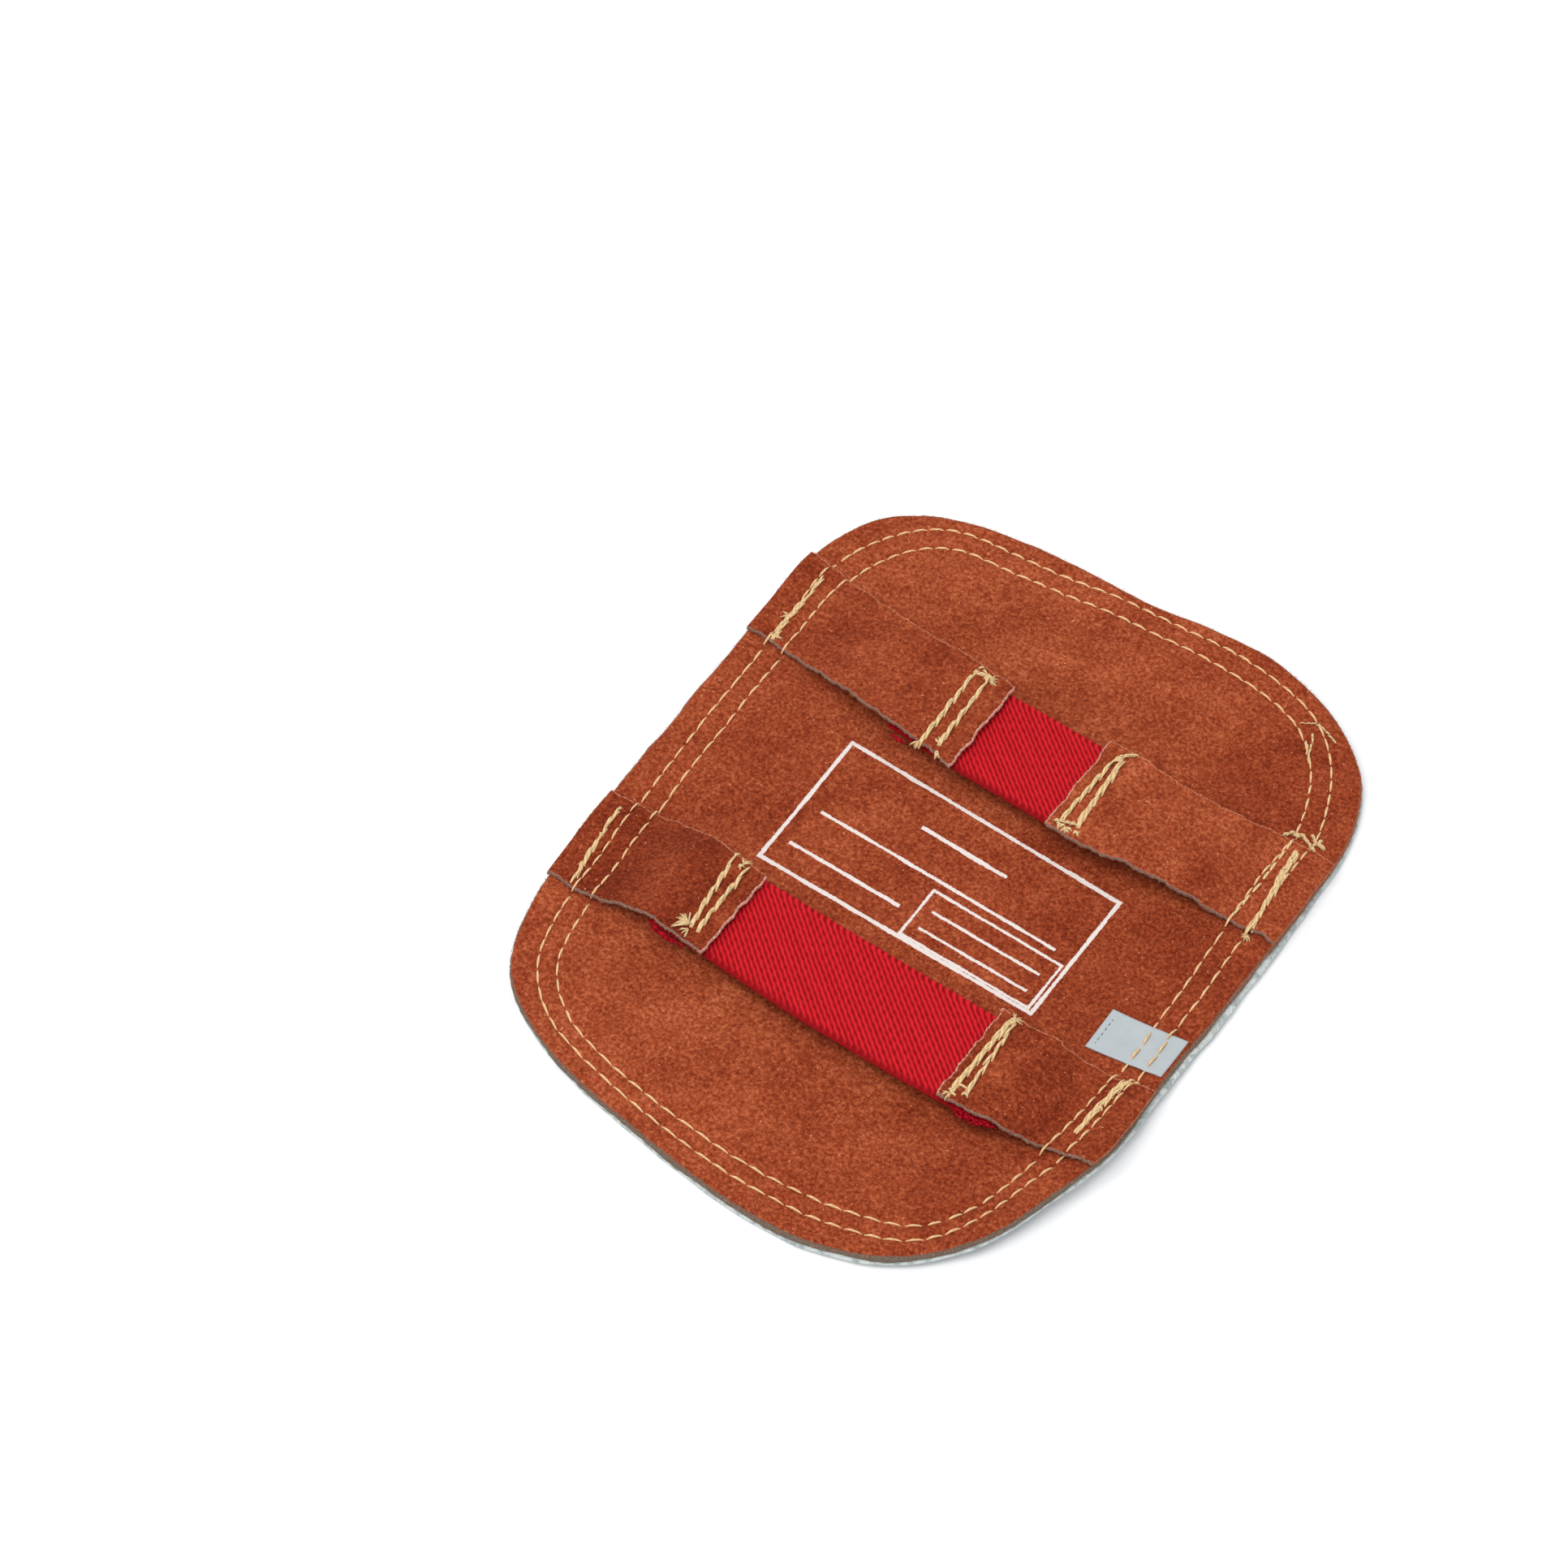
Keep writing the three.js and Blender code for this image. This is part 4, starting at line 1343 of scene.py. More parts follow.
def make_label():
    wide, long = LABEL_HIGH - LABEL_LOW, LABEL_OUTER - LABEL_INNER
    size = (int(wide / LABEL_STEP), int(long / LABEL_STEP))
    x = np.linspace(LABEL_INNER, LABEL_OUTER, size[1] + 1)
    share = np.linspace(0, 1, size[0] + 1)
    gx = np.repeat(x[:, None], size[0] + 1, 1)
    gy = LABEL_LOW + wide * share[None, :] + (gx - LABEL_INNER) * LABEL_TURN
    free = np.clip(1 - (gx - LABEL_INNER) / LABEL_FREE, 0, 1)
    curl = LABEL_CURL * free**2 * (0.4 + 0.6 * share[None, :])
    under = rest_height(gx, gy) + LABEL_LIFT + curl
    for row in ROWS.values():
        under = under - 0.35 * row.valley(gx, gy, inset_of(gx, gy))
    shown = np.stack([gx, gy, under + LABEL_THICK], -1).reshape(-1, 3)
    hidden = np.stack([gx, gy, under], -1).reshape(-1, 3)
    edge = grid_edge(*size)
    middle = (shown[edge] + hidden[edge]) / 2
    made, _ = closed_sheet("seam_label_tape", size, shown, [middle], hidden=hidden)
    along = gx - LABEL_INNER
    flat = np.stack([along, gy - LABEL_LOW - along * LABEL_TURN, gx * 0], -1).reshape(-1, 3)
    store(made, "label_at", np.concatenate([flat, flat[edge], flat]))
    made.data.materials.append(label_material())
    return finish_piece(made, "seam_label")


seam_label_tape = make_label()
print("label:", len(seam_label_tape.data.polygons), "faces")

# %% [markdown]
# ## Sewing thread
# A stitch is a short length of two-ply thread between two needle holes. Hundreds of them
# repeat, so Geometry Nodes lays them: Python only marks the middle of each stitch with a
# point that knows its direction, its length and which way is up, and the node tree puts
# a slightly arched piece of thread on each point.

# %% The thread materials
def thread_material(name, light, dark):
    material, tree, shader = new_material(
        name, roughness=0.6, specular_ior_level=0.3, sheen_weight=0.2, sheen_roughness=0.4)
    where = place(tree)
    length_share = attribute(tree, "length_share")
    turns = calc(tree, "MULTIPLY_ADD", length_share, 1.1, attribute(tree, "round_share"))
    ply = calc(tree, "SINE", calc(tree, "MULTIPLY", turns, 2 * TURN))
    ply = calc(tree, "MULTIPLY_ADD", ply, 0.5, 0.5)
    fibre = noise(tree, where, 0.3, 2.0, 0.6)
    tone = calc(tree, "MULTIPLY_ADD", fibre, 0.6, calc(tree, "MULTIPLY", ply, 0.4))
    colour = blend(tree, ramp(tree, tone, 0.1, 0.75), dark, light)
    tree.links.new(colour, shader.inputs["Base Color"])
    add_bump(tree, shader, calc(tree, "MULTIPLY_ADD", fibre, 0.3, ply), 0.6, 0.00015)
    return material


straw_thread = thread_material("straw_thread", srgb(248, 208, 154), srgb(206, 152, 98))
khaki_thread = thread_material("khaki_thread", srgb(196, 180, 126), srgb(136, 120, 72))
tack_thread = thread_material("tack_thread", srgb(240, 208, 154), srgb(188, 150, 98))
print("threads:", straw_thread.name, khaki_thread.name, tack_thread.name)

# %% The stitch-laying node tree
STITCH_SIZES = {
    "Thread radius": 0.0003, "Arch": 0.0004, "Sink": 0.0004, "Unevenness": 0.12,
}
STITCH_ROUNDING = 2.2
STITCH_TAPER = 0.55


def marked(tree, name, kind):
    """A value that Python stored on the marked points."""
    made = add_node(tree, "GeometryNodeInputNamedAttribute", {"Name": name}, data_type=kind)
    return made.outputs[0]


def stitch_tree(name, sides, rings):
    """A node tree that lays an arched piece of thread on each marked point."""
    tree = bpy.data.node_groups.new(name, "GeometryNodeTree")
    sockets = tree.interface
    sockets.new_socket("Geometry", in_out="INPUT", socket_type="NodeSocketGeometry")
    for title, value in STITCH_SIZES.items():
        made = sockets.new_socket(title, in_out="INPUT", socket_type="NodeSocketFloat")
        made.default_value = value
    sockets.new_socket("Seed", in_out="INPUT", socket_type="NodeSocketInt")
    sockets.new_socket("Thread", in_out="INPUT", socket_type="NodeSocketMaterial")
    sockets.new_socket("Geometry", in_out="OUTPUT", socket_type="NodeSocketGeometry")
    given = add_node(tree, "NodeGroupInput").outputs

    line = add_node(tree, "GeometryNodeCurvePrimitiveLine", {
        "Start": (-0.5, 0, 0), "End": (0.5, 0, 0)})
    line = add_node(tree, "GeometryNodeResampleCurve", {"Curve": line.outputs[0], "Count": rings})
    share = add_node(tree, "GeometryNodeSplineParameter").outputs["Factor"]
    centred = calc(tree, "MULTIPLY_ADD", share, 2.0, -1.0)
    fall = calc(tree, "POWER", calc(tree, "ABSOLUTE", centred), STITCH_ROUNDING)
    height = calc(tree, "SUBTRACT", given["Arch"],
                  calc(tree, "MULTIPLY", fall, calc(tree, "ADD", given["Arch"], given["Sink"])))
    lift = add_node(tree, "ShaderNodeCombineXYZ", {2: height})
    line = add_node(tree, "GeometryNodeSetPosition", {
        "Geometry": line.outputs[0], "Offset": lift.outputs[0]})
    line = add_node(tree, "GeometryNodeStoreNamedAttribute", {
        "Geometry": line.outputs[0], "Name": "length_share", "Value": share}, data_type="FLOAT")
    plump = calc(tree, "SUBTRACT", 1.0, calc(tree, "MULTIPLY", fall, STITCH_TAPER))
    ring = add_node(tree, "GeometryNodeCurvePrimitiveCircle", {
        "Resolution": sides, "Radius": given["Thread radius"]})
    ring = add_node(tree, "GeometryNodeStoreNamedAttribute", {
        "Geometry": ring.outputs[0], "Name": "round_share",
        "Value": add_node(tree, "GeometryNodeSplineParameter").outputs["Factor"]}, data_type="FLOAT")
    sweep = add_node(tree, "GeometryNodeCurveToMesh", {
        "Curve": line.outputs[0], "Profile Curve": ring.outputs[0], "Fill Caps": True})
    if "Scale" in sweep.inputs:
        tree.links.new(plump, sweep.inputs["Scale"])

    along = marked(tree, "along", "FLOAT_VECTOR")
    up = marked(tree, "up", "FLOAT_VECTOR")
    span = marked(tree, "span", "FLOAT")
    turned = add_node(tree, "FunctionNodeAlignRotationToVector", {"Vector": along}, axis="X")
    turned = add_node(tree, "FunctionNodeAlignRotationToVector", {
        "Rotation": turned.outputs[0], "Vector": up}, axis="Z", pivot_axis="X")
    low = calc(tree, "SUBTRACT", 1.0, given["Unevenness"])
    high = calc(tree, "ADD", 1.0, given["Unevenness"])
    width = add_node(tree, "FunctionNodeRandomValue", {
        2: low, 3: high, "Seed": given["Seed"]}, data_type="FLOAT")
    wide = calc(tree, "MULTIPLY", width.outputs[1], marked(tree, "girth", "FLOAT"))
    scale = add_node(tree, "ShaderNodeCombineXYZ", {0: span, 1: wide, 2: wide})
    laid = add_node(tree, "GeometryNodeInstanceOnPoints", {
        "Points": given["Geometry"], "Instance": sweep.outputs[0],
        "Rotation": turned.outputs[0], "Scale": scale.outputs[0]})
    solid = add_node(tree, "GeometryNodeRealizeInstances", {0: laid.outputs[0]})
    solid = add_node(tree, "GeometryNodeSetShadeSmooth", {"Geometry": solid.outputs[0]})
    solid = add_node(tree, "GeometryNodeSetMaterial", {
        "Geometry": solid.outputs[0], "Material": given["Thread"]})
    add_node(tree, "NodeGroupOutput", {0: solid.outputs[0]})
    return tree


STITCHES = stitch_tree("lay_stitches", 6, 8)
FIBRES = stitch_tree("lay_fibres", 3, 4)
print("the stitch tree has", len(STITCHES.nodes), "nodes")

# %% Laying stitches on marked points
UP_STEP = 0.6


def set_inputs(modifier, values):
    """Sets a node modifier's inputs, which answer to the sockets' identifiers."""
    for item in modifier.node_group.interface.items_tree:
        if item.item_type == "SOCKET" and item.in_out == "INPUT" and item.name in values:
            modifier[item.identifier] = values[item.name]


def lay_stitches(name, middles, along, span, up, material, seed, girth=1.0,
                 radius=0.37, arch=0.28, sink=0.62, unevenness=0.10, tree=STITCHES):
    """One mesh of stitches from their middles, directions, lengths and up directions."""
    mesh = bpy.data.meshes.new(name + "_marks")
    mesh.from_pydata(to_frame(middles).tolist(), [], [])
    marks = bpy.data.objects.new(name + "_marks", mesh)
    bpy.context.scene.collection.objects.link(marks)
    store(marks, "along", along)
    store(marks, "up", up)
    store(marks, "span", np.asarray(span) * MM)
    store(marks, "girth", np.zeros(len(middles)) + girth)
    modifier = marks.modifiers.new("stitches", "NODES")
    modifier.node_group = tree
    set_inputs(modifier, {
        "Thread radius": radius * MM, "Arch": arch * MM, "Sink": sink * MM,
        "Unevenness": unevenness, "Seed": seed, "Thread": material})
    evaluated = marks.evaluated_get(bpy.context.evaluated_depsgraph_get())
    solid = bpy.data.meshes.new_from_object(evaluated)
    bpy.data.objects.remove(marks)
    made = bpy.data.objects.new(name, solid)
    solid.name = name
    bpy.context.scene.collection.objects.link(made)
    return made


def surface_up(height, x, y):
    """Directions square to a surface that is given by its height."""
    slope_x = (height(x + UP_STEP, y) - height(x - UP_STEP, y)) / (2 * UP_STEP)
    slope_y = (height(x, y + UP_STEP) - height(x, y - UP_STEP)) / (2 * UP_STEP)
    up = np.stack([-slope_x, -slope_y, np.ones_like(slope_x)], 1)
    return up / np.linalg.norm(up, axis=1, keepdims=True)


print("up at the pad's middle:", surface_up(rest_height, np.zeros(1), np.zeros(1)).round(2))

# %% [markdown]
# ## The two rows round the rim
# The rows are lockstitch: the thread dives into each hole and comes up again, so only a
# dash shows, and each dash lies a little askew. They cross the sewn-down ends of the
# tabs and the label, so each stitch asks for the height of whatever is topmost there.
# Its place and its length come from the row, which counts its stitches by their pitch.

# %% The rim's stitches
DASH_SHARE = 0.91
SLANT = math.radians(1.0)
DASH_SLIP = 0.10
DASH_SPREAD = 0.16
DASH_LEAN = 0.035


def rim_stitches(name, row, seed, height=top_height, side=1, material=straw_thread,
                 radius=0.33, arch=0.18, sink=0.46):
    """A row of stitches on the side that faces up, or with side -1 facing down."""
    random = np.random.default_rng(seed)
    numbers = np.arange(row.count) + 0.5
    middle = np.interp(numbers, row.counted, row.walked) + random.normal(0, DASH_SLIP, row.count)
    length = np.interp(numbers, row.counted, row.pitch) * DASH_SHARE
    length = length + random.normal(0, DASH_SPREAD, row.count)
    start, end = row.at(middle - length / 2), row.at(middle + length / 2)
    spot = (start + end) / 2
    heading = np.arctan2(*(end - start).T[::-1]) - SLANT
    heading = heading + random.normal(0, DASH_LEAN, row.count)
    under = (start * 0.7 + end * 0.3, spot, start * 0.3 + end * 0.7)
    z = side * np.max([side * height(*p.T) for p in under], axis=0)
    climb = (height(*end.T) - height(*start.T)) / length
    along = np.stack([np.cos(heading), np.sin(heading), np.clip(climb, -0.4, 0.4)], 1)
    up = side * surface_up(rest_height, *spot.T)
    points = np.concatenate([spot, z[:, None]], 1)
    return lay_stitches(name, points, along, length, up, material, seed,
                        radius=radius, arch=arch, sink=sink)


rim_rows = [rim_stitches(name + "_rim_stitches", row, 300 + k)
            for k, (name, row) in enumerate(ROWS.items())]
for piece in rim_rows:
    finish_piece(piece)
    print(piece.name, len(piece.data.polygons), "faces")

# %% [markdown]
# ## Bar tacks and side seams
# Where a strap pulls, the machine sews back and forth over the same line and its needle
# falls into the same holes, so the thread piles up into a rough rope. Each line is laid
# several times, side by side and a little apart in height. At its ends the thread is cut
# short and opens into a small fan of fibres, and here and there a loose end is left.

# %% Threads laid side by side, fans and loose ends
ROPE_PITCH = 4.6
ROPE_SPREAD = 0.28
ROPE_RADIUS = 0.39
FIBRE_GIRTH = 0.40
LOOSE_STEP = 1.5
LOOSE_LONG = 1.9
BOBBIN_FLOOR = 0.42


class Threads:
    """Stitches of one piece: middles, headings, tilts, lengths, girths and lifts."""

    def __init__(self, seed):
        self.random = np.random.default_rng(seed)
        self.seed = seed
        self.parts = []

    def add(self, spots, heading, tilt, length, girth, lift):
        """Stitches at some places. Each other value is one for all, or one for each."""
        columns = [np.zeros(len(spots)) + c for c in (heading, tilt, length, girth, lift)]
        self.parts.append(np.column_stack([spots, *columns]))

    def line(self, x0, y0, x1, y1, passes, lift=0.30):
        """A line that is sewn over and over."""
        start, end = np.array((x0, y0)), np.array((x1, y1))
        length = np.linalg.norm(end - start)
        along = (end - start) / length
        side = np.array([-along[1], along[0]])
        count = max(round(length / ROPE_PITCH), 1)
        step = length / count
        many = passes > 1
        for k in range(passes):
            phase = (k * 0.62) % 1 if many else 0.5
            at = (np.arange(count) + phase) * step + self.random.normal(0, 0.15, count)
            at = np.clip(at, step * 0.35, length - step * 0.35)
            drift = (k - (passes - 1) / 2) * ROPE_SPREAD + self.random.normal(0, 0.06, count)
            spots = start + along * at[:, None] + side * drift[:, None]
            lean = 0.10 * (-1)**k * many + self.random.normal(0, 0.03, count)
            above = lift * ((k + np.arange(count)) % 2) * many + 0.05
            heading = math.atan2(along[1], along[0]) + lean
            self.add(spots, heading, 0, step * (1.25 if many else 1.0), 1.0, above)

    def loose_end(self, *points, passes=1, girth=0.8, lift=0.15):
        """A thread that lies loosely along a few points."""
        points = np.array(points, float)
        steps = np.hypot(*np.diff(points, axis=0).T)
        walked = np.concatenate([[0], np.cumsum(steps)])
        count = max(round(walked[-1] / LOOSE_STEP), 1)

        def along(distance):
            return np.stack([np.interp(distance, walked, points[:, c]) for c in (0, 1)], 1)

        for k in range(passes):
            at = (np.arange(count) + 0.5) / count * walked[-1]
            wiggle = self.random.normal(0, 0.10, (count, 2)) + self.random.normal(0, 0.22 * k, 2)
            heading = np.arctan2(*(along(at + 0.4) - along(at - 0.4)).T[::-1])
            heading = heading + self.random.normal(0, 0.12, count)
            self.add(along(at) + wiggle, heading, 0, LOOSE_LONG, girth, lift + 0.2 * k)

    def fan(self, x, y, heading, spread, reach, count):
        """Cut fibres that open from one point."""
        angle = np.radians(heading + self.random.uniform(-spread / 2, spread / 2, count))
        length = reach * self.random.uniform(0.55, 1.0, count)
        tilt = self.random.uniform(-0.25, 0.12, count)
        half = np.stack([np.cos(angle), np.sin(angle)], 1) * length[:, None] / 2
        self.add(np.array((x, y)) + half, angle, tilt, length, FIBRE_GIRTH, 0.25)

    def knot(self, x, y, size, count=4, lift=0.25):
        """A few tight turns of thread, each crossing the one below it."""
        angle = self.random.uniform(0, math.pi) + np.arange(count) * 1.25
        angle = angle + self.random.normal(0, 0.2, count)
        spots = np.array((x, y)) + self.random.normal(0, size * 0.20, (count, 2))
        tilt = self.random.uniform(-0.1, 0.1, count)
        self.add(spots, angle, tilt, size * 1.25, 1.0, lift + 0.12 * np.arange(count))

    def make(self, name, height, material=tack_thread, side=1, **thread):
        """The piece, on a surface that is given by its height."""
        x, y, heading, tilt, length, girth, lift = np.concatenate(self.parts).T
        z = height(x, y) + side * lift
        if side < 0:
            z = np.maximum(z, BOBBIN_FLOOR)
        along = np.stack([np.cos(heading), np.sin(heading), tilt], 1)
        points = np.stack([x, y, z], 1)
        up = side * surface_up(height, x, y)
        return lay_stitches(name, points, along, length, up, material, self.seed,
                            girth=girth, **thread)


def tab_top(name):
    """The height of one tab's top as a function of the place."""
    sections = from_left(TABS[name])

    def height(x, y):
        rise = np.interp(x, sections[:, STRIP_X], sections[:, STRIP_RISE])
        return tab_floor(x, y, rise) + TAB_THICK - line_valley(x, y, SEWN[name]["tack"]) * 0.6

    return height


print("rope pitch", ROPE_PITCH, "mm")

# %% The tacks at the tabs' inner ends
tacks = {name: Threads(400 + k) for k, name in enumerate(TABS)}
for name, threads in tacks.items():
    for line in SEWN[name]["tack"]:
        threads.line(*line)

t = tacks["upper_left_tab"]
t.fan(-17.4, 29.7, 120, 90, 3.4, 10)
t.fan(-18.3, 54.7, 15, 150, 2.8, 12)
t.knot(-19.0, 54.6, 1.6)
t.loose_end((-23.0, 54.5), (-22.4, 56.9), (-20.6, 56.2), (-18.7, 55.6), passes=2)
t.fan(-22.0, 27.6, 250, 80, 3.0, 7)
t.knot(-16.2, 26.6, 1.2, 3)

t = tacks["upper_right_tab"]
t.loose_end((22.2, 51.0), (23.9, 53.4), (25.9, 54.9), passes=3)
t.loose_end((19.9, 25.9), (22.3, 26.9), (25.2, 27.9), passes=3)
t.knot(21.6, 25.2, 1.7)
t.knot(23.8, 25.0, 1.7)
t.knot(26.6, 25.6, 1.3, 3)
t.knot(22.8, 51.4, 1.5, 3)

t = tacks["lower_left_tab"]
t.fan(-37.4, -52.6, 165, 150, 4.6, 30)
t.fan(-36.6, -53.8, 250, 90, 2.6, 9)
t.fan(-36.8, -30.0, 75, 130, 2.8, 14)
t.knot(-37.0, -30.6, 1.4, 3)
t.fan(-40.1, -28.9, 90, 100, 1.8, 6)

t = tacks["lower_right_tab"]
t.fan(42.6, -57.2, 245, 110, 2.6, 10)
t.knot(42.8, -56.6, 1.7)
t.knot(45.9, -55.6, 1.1, 3)
t.fan(44.2, -30.8, 60, 150, 2.4, 12)
t.knot(44.0, -31.2, 1.7)

for name, threads in tacks.items():
    piece = threads.make(name + "_tack", tab_top(name), radius=ROPE_RADIUS)
    finish_piece(piece)
    print(piece.name, len(piece.data.polygons), "faces")

# %% The seams at the pad's sides
seams = {name: Threads(420 + k) for k, name in enumerate(TABS)}
for name, threads in seams.items():
    for line in SEWN[name]["side"]:
        threads.line(*line)

t = seams["upper_left_tab"]
t.fan(-75.2, 46.0, 195, 60, 3.0, 8)
t.fan(-74.8, 38.4, 20, 70, 2.4, 7)
t.fan(-74.9, 38.2, 190, 80, 1.8, 6)

t = seams["upper_right_tab"]
t.fan(75.8, 28.0, 250, 160, 2.0, 9)
t.knot(75.7, 27.8, 1.5, 3)
t.knot(73.5, 49.8, 1.6, 3)
t.knot(70.3, 62.2, 1.4, 3)
t.loose_end((67.3, 60.4), (68.5, 62.6), (71.1, 63.1), (73.6, 61.7), (76.1, 60.3),
            passes=3, girth=1.0)
t.loose_end((72.9, 64.2), (75.6, 63.1), (77.8, 62.1), passes=2, girth=1.0)
t.loose_end((75.0, 61.4), (76.5, 64.6), passes=2, girth=1.0)
t.loose_end((60.6, 83.8), (59.9, 85.1), (58.3, 87.6), (56.7, 89.9), girth=0.8)
t.loose_end((60.6, 83.8), (59.9, 85.1), (58.9, 88.6), (57.2, 92.5), girth=0.8)
t.loose_end((56.6, 95.7), (59.6, 94.6), (63.5, 92.9), girth=0.7)
t.loose_end((52.8, 93.0), (55.2, 94.8), (58.0, 95.7), girth=0.55)

t = seams["lower_left_tab"]
t.knot(-74.3, -39.2, 1.3, 3)
t.knot(-72.6, -49.6, 1.7, 3)
t.fan(-75.4, -30.4, 80, 60, 1.6, 5)

t = seams["lower_right_tab"]
t.loose_end((76.4, -25.0), (75.2, -26.2), (74.2, -28.8), passes=3)
t.knot(73.6, -38.2, 1.4, 3)

for name, threads in seams.items():
    piece = threads.make(name + "_side_seam", top_height, radius=ROPE_RADIUS)
    finish_piece(piece)
    print(piece.name, len(piece.data.polygons), "faces")

# %% [markdown]
# ## The bobbin's side
# A lockstitch is made of two threads that hook into each other in the leather. The lower
# one comes from the bobbin. It is khaki and thinner, and it shows on the bright face: in
# the two rows round the rim, and as rough ropes where the straps are sewn on.

# %% The bobbin's thread on the bright face
BOBBIN_KNOT = 2.2


def face_low(x, y):
    """The bright face as the bobbin's thread meets it, clear of the floor."""
    return np.maximum(face_underside(x, y), BOBBIN_FLOOR)


for k, (name, row) in enumerate(ROWS.items()):
    piece = rim_stitches(name + "_rim_bobbin", row, 500 + k, height=face_low, side=-1,
                         material=khaki_thread, radius=0.25, arch=0.08, sink=0.42)
    finish_piece(piece)
    print(piece.name, len(piece.data.polygons), "faces")

for k, name in enumerate(TABS):
    threads = Threads(520 + k)
    for x0, y0, x1, y1, passes in SEWN[name]["side"]:
        threads.line(x0, y0, x1, y1, max(passes - 1, 1), lift=0.0)
    start_x, start_y, end_x, end_y, _ = SEWN[name]["side"][0]
    threads.knot(start_x, start_y, BOBBIN_KNOT, lift=0.0)
    threads.knot(end_x, end_y, BOBBIN_KNOT, lift=0.0)
    piece = threads.make(name + "_bobbin_seam", face_low, khaki_thread, side=-1,
                         radius=0.26, arch=0.08, sink=0.40)
    finish_piece(piece)
    print(piece.name, len(piece.data.polygons), "faces")

# %% [markdown]
# ## Fuzz on the cut edges
# A knife opens the fibres of the hide, so a cut edge is a pale brush, not a line. Thin
# short hairs stand out of the walls of the tabs and of the pad, a few in each millimetre,
# and lean every way. They take the same tree as the stitches, with fewer faces.

# %% The fuzz
HAIR_LONG = 0.42
HAIR_RADIUS = 0.032
HAIR_FLOOR = 0.3
HAIR_LEAN = 0.8
HAIR_TILT = 0.5
# The wall's height that hairs cover in millimetres, and how many stand on a millimetre
TAB_HAIRS = (0.9, 9)
PAD_HAIRS = (1.2, 8)
PAD_HAIR_OUT, PAD_HAIR_DOWN = 0.25, 0.75


def mottled_material(name, dark, light, roughness, shine):
    """A plain dull material whose colour wavers between two."""
    material, tree, shader = new_material(
        name, roughness=roughness, specular_ior_level=shine)
    tone = noise(tree, place(tree), 0.8, 2.0, 0.6)
    colour = blend(tree, ramp(tree, tone, 0.35, 0.65), dark, light)
    tree.links.new(colour, shader.inputs["Base Color"])
    return material


def on_ring(at, walked, columns):
    """Rows of a closed ring's table at distances along the ring."""
    closed = np.concatenate([columns, columns[:1]])
    return np.stack([np.interp(at, walked, column) for column in closed.T], 1)


def lay_fuzz(name, ring, away, thick, per_mm, seed):
    """Hairs out of a wall, given by its ring of middle points and the directions out of it."""
    random = np.random.default_rng(seed)
    steps = np.linalg.norm(np.diff(ring, axis=0, append=ring[:1]), axis=1)
    walked = np.concatenate([[0], np.cumsum(steps)])
    count = int(walked[-1] * per_mm)
    at = np.sort(random.uniform(0, walked[-1], count))
    spots = on_ring(at, walked, ring)
    out = on_ring(at, walked, away)
    heading = np.arctan2(out[:, 1], out[:, 0]) + random.normal(0, HAIR_LEAN, count)
    tilt = random.normal(0, HAIR_TILT, count)
    along = np.stack([np.cos(heading), np.sin(heading), tilt], 1)
    length = HAIR_LONG * random.uniform(0.5, 1.3, count)
    spots[:, 2] += random.uniform(-0.5, 0.5, count) * thick
    spots += along * length[:, None] * 0.25
    spots[:, 2] = np.maximum(spots[:, 2], HAIR_FLOOR)
    up = np.tile((0.0, 0.0, 1.0), (count, 1))
    made = lay_stitches(name, spots, along, length, up, suede_fuzz, seed,
                        radius=HAIR_RADIUS, arch=0.0, sink=0.10, unevenness=0.3,
                        tree=FIBRES)
    finish_piece(made)
    print(name, count, "hairs")
    return made


suede_fuzz = mottled_material("suede_fuzz", srgb(150, 88, 66), srgb(222, 172, 148), 1.0, 0.05)
for k, name in enumerate(TABS):
    ring, away = TAB_WALLS[name]
    lay_fuzz(name + "_fuzz", ring, away, *TAB_HAIRS, 540 + k)

around = np.linspace(0, TURN, 1240, endpoint=False)
ring = np.stack([*edge_spots(around, PAD_HAIR_OUT), np.zeros(len(around))], 1)
ring[:, 2] = rest_height(*(ring[:, :2] * 0.992).T) - PAD_HAIR_DOWN
away = np.stack([np.cos(around), np.sin(around)], 1)
lay_fuzz("suede_backing_fuzz", ring, away, *PAD_HAIRS, 545)

# %% [markdown]
# ## Frayed elastic
# The webs' ends are cut under the tabs, and the woven yarns come loose there. A few red
# strands hang out below the tabs' lower edges, close under the web. They are laid by the
# same tree as the thread, in the red of the web.

# %% Frayed ends of the webs
STRAND_POINTS = 6
FRAYS = {
    # web: the strands' start x, start y, end x, end y, how many, and how far they sag
    "lower_elastic": ((-46.5, -56.2, -36.5, -57.2, 9, 1.3), (43.0, -58.2, 57.5, -57.6, 14, 1.9)),
    "upper_elastic": ((-31.0, 27.6, -24.0, 26.9, 4, 0.7),),
}


def frayed_strands(name, seed):
    """The loose yarns at a web's ends."""
    threads = Threads(seed)
    random = threads.random
    for x0, y0, x1, y1, count, sag in FRAYS[name]:
        for _ in range(count):
            start, end = np.sort(random.uniform(0, 1, 2) * [0.5, 1.0])
            share = np.linspace(start, max(end, start + 0.4), STRAND_POINTS)
            x = x0 + (x1 - x0) * share + random.normal(0, 0.3, STRAND_POINTS)
            hang = np.sin(np.linspace(0, math.pi, STRAND_POINTS))
            y = y0 + (y1 - y0) * share - sag * hang * random.uniform(0.2, 1)
            threads.loose_end(*zip(x, y), girth=random.uniform(0.5, 0.9),
                              lift=random.uniform(-0.9, 0.9))
    level = WEB_FLOOR + WEB_THICK * 0.3
    return threads.make(name + "_frayed_end", lambda x, y: level + 0 * x, red_yarn)


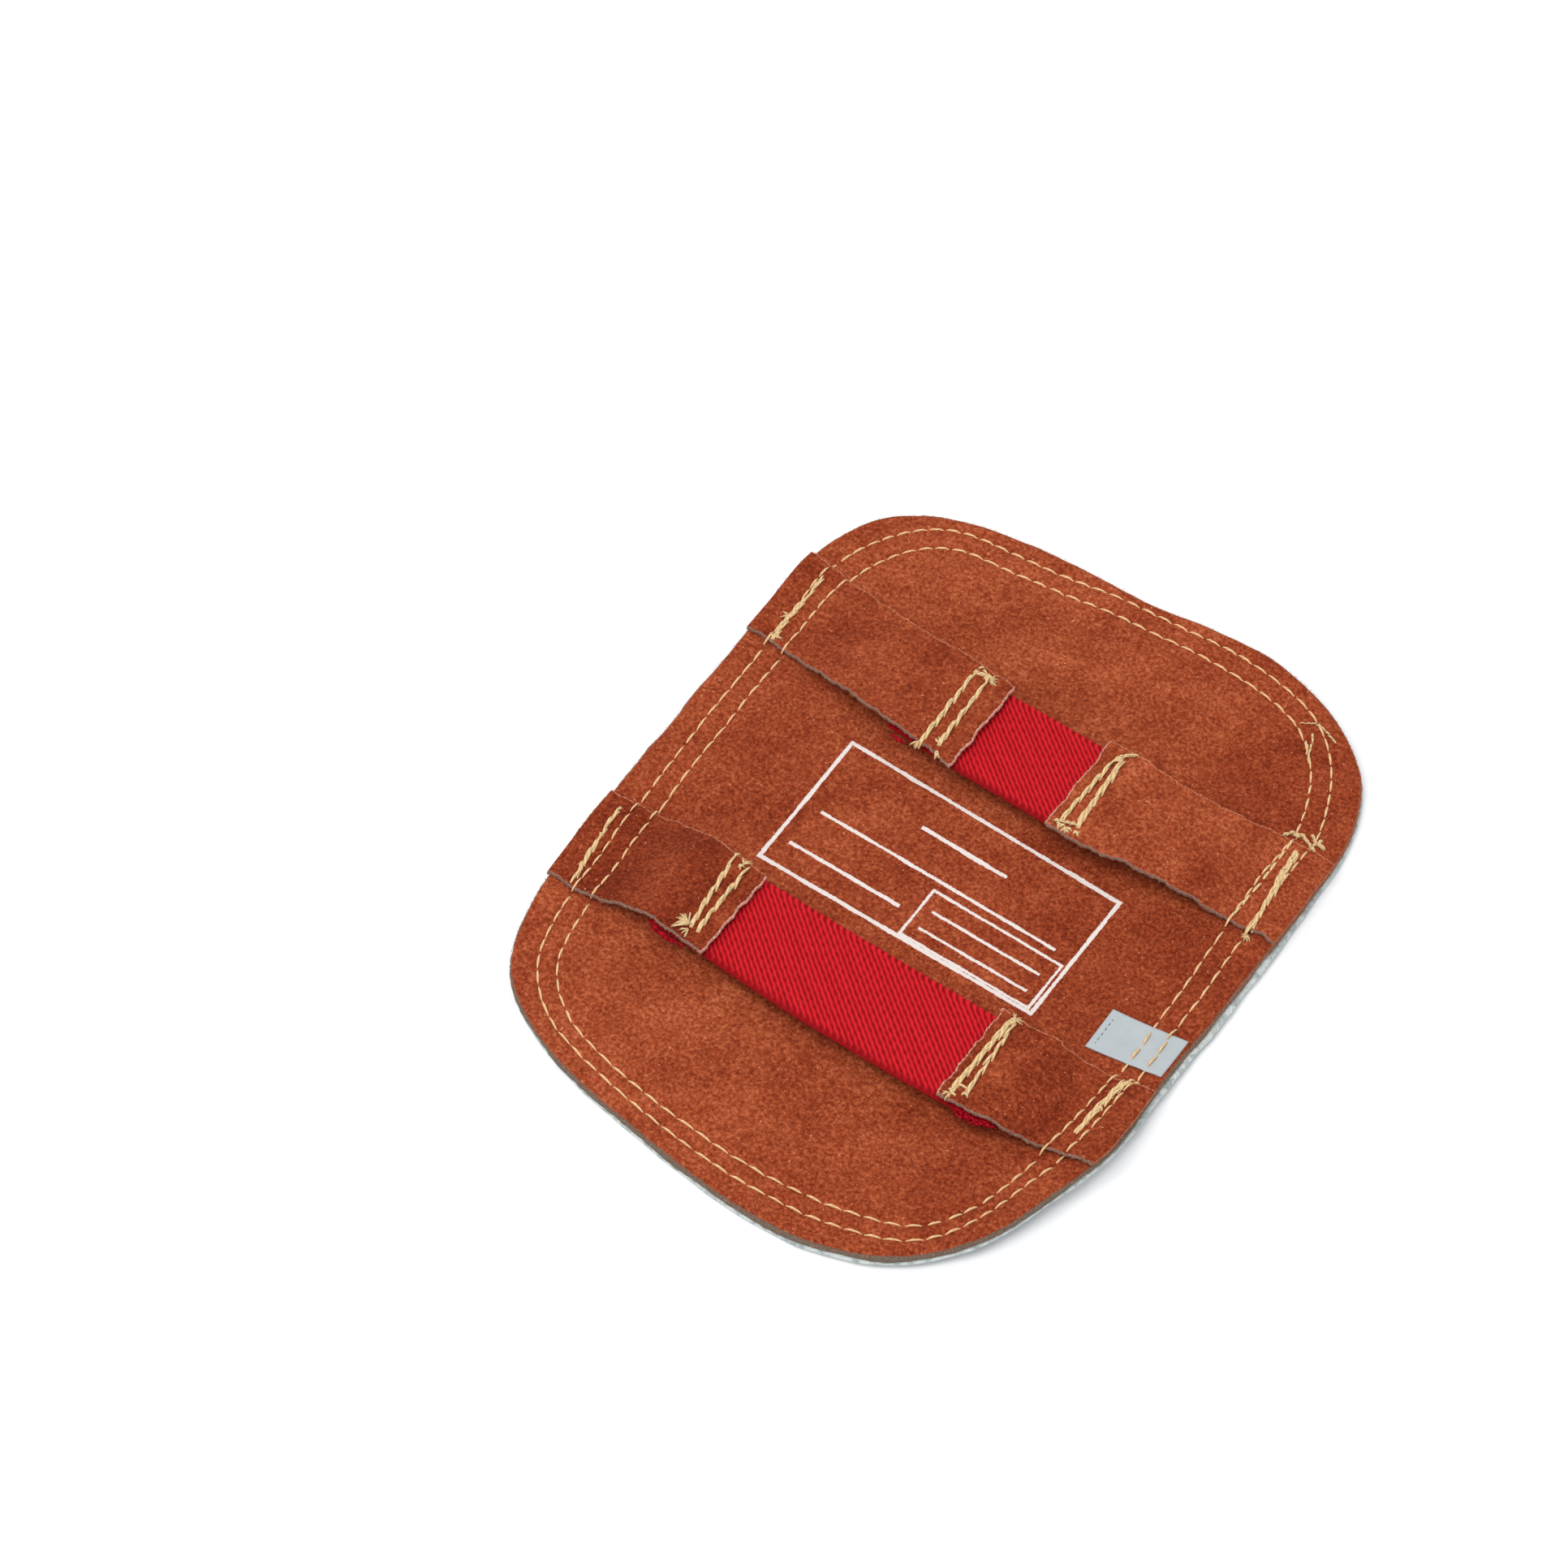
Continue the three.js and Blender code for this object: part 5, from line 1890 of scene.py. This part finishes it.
red_yarn = mottled_material("red_yarn", srgb(120, 2, 20), srgb(196, 16, 40), 0.8, 0.1)
for k, name in enumerate(FRAYS):
    piece = frayed_strands(name, 440 + k)
    finish_piece(piece)
    print(piece.name, len(piece.data.polygons), "faces")

# %% [markdown]
# ## What is cloth
# Every cut sheet is declared with the size it was cut to, so that whoever reuses the
# model knows that it bends. The pad's two layers lie, and the straps are stretched.

# %% Cloth and leather sheets
def outline_area(overhang):
    """The area in square metres inside the suede's edge, or the face's with overhang 1."""
    bearing = np.arange(OUTLINE_SAMPLES) / OUTLINE_SAMPLES * TURN
    r = rim(REACH, bearing) + overhang * rim(OVERHANG, bearing)
    return float(0.5 * np.sum(r**2) * TURN / OUTLINE_SAMPLES) * MM**2


def strip_size(rows):
    """The flat width and length of a strap's strip, in metres."""
    sections = strip_samples(rows, STRIP_SAMPLES)
    x, y, wide = sections[:, STRIP_X], sections[:, STRIP_Y], sections[:, STRIP_WIDE]
    z = WEB_FLOOR * sections[:, STRIP_RISE]
    length = np.sqrt(np.diff(x)**2 + np.diff(y)**2 + np.diff(z)**2).sum()
    return float(wide.max()) * MM, float(length) * MM


for name, piece in tabs.items():
    strip_size(TABS[name])
for name, piece in webs.items():
    strip_size(WEBS[name])
print("suede:", round(outline_area(0) * 1e4), "square centimetres")

# %% [markdown]
# ## The studio
# A pale floor, a soft white surround and one large soft light. The light hangs high in
# front of the pad and a little to its left, so the straps throw only a soft shadow under
# their low edges, and the even surround keeps the floor and the edges pale.

# %% Floor and lights
FLOOR_SIDE = 6.0
KEY_POWER = 26.0
KEY_SIDE = 1.3
KEY_AT = Vector((-0.15, -0.75, 1.95))
SURROUND = 0.74
SURROUND_COLOUR = (0.97, 0.985, 1.0, 1)
FLOOR_COLOUR = (0.93, 0.93, 0.93, 1)


def make_floor():
    mesh = bpy.data.meshes.new("pale_floor")
    half = FLOOR_SIDE / 2
    corners = [(-half, -half, 0), (half, -half, 0), (half, half, 0), (-half, half, 0)]
    mesh.from_pydata(corners, [], [(0, 1, 2, 3)])
    floor = bpy.data.objects.new("pale_floor", mesh)
    bpy.context.scene.collection.objects.link(floor)
    material, tree, shader = new_material("pale_floor", roughness=0.9, specular_ior_level=0.1)
    shader.inputs["Base Color"].default_value = FLOOR_COLOUR
    mesh.materials.append(material)
    return floor


def make_light(name, at, side, power):
    """A square soft light that looks at the pad."""
    data = bpy.data.lights.new(name, "AREA")
    data.shape = "SQUARE"
    data.size = side
    data.energy = power
    light = bpy.data.objects.new(name, data)
    light.location = at
    light.rotation_euler = (-at).to_track_quat("-Z", "Y").to_euler()
    bpy.context.scene.collection.objects.link(light)
    return light


def make_surround():
    world = bpy.data.worlds.new("soft_white_room")
    world.use_nodes = True
    background = world.node_tree.nodes["Background"]
    background.inputs["Color"].default_value = SURROUND_COLOUR
    background.inputs["Strength"].default_value = SURROUND
    bpy.context.scene.world = world


make_floor()
make_light("key_light", KEY_AT, KEY_SIDE, KEY_POWER)
make_surround()
bpy.context.scene.view_settings.view_transform = "Standard"
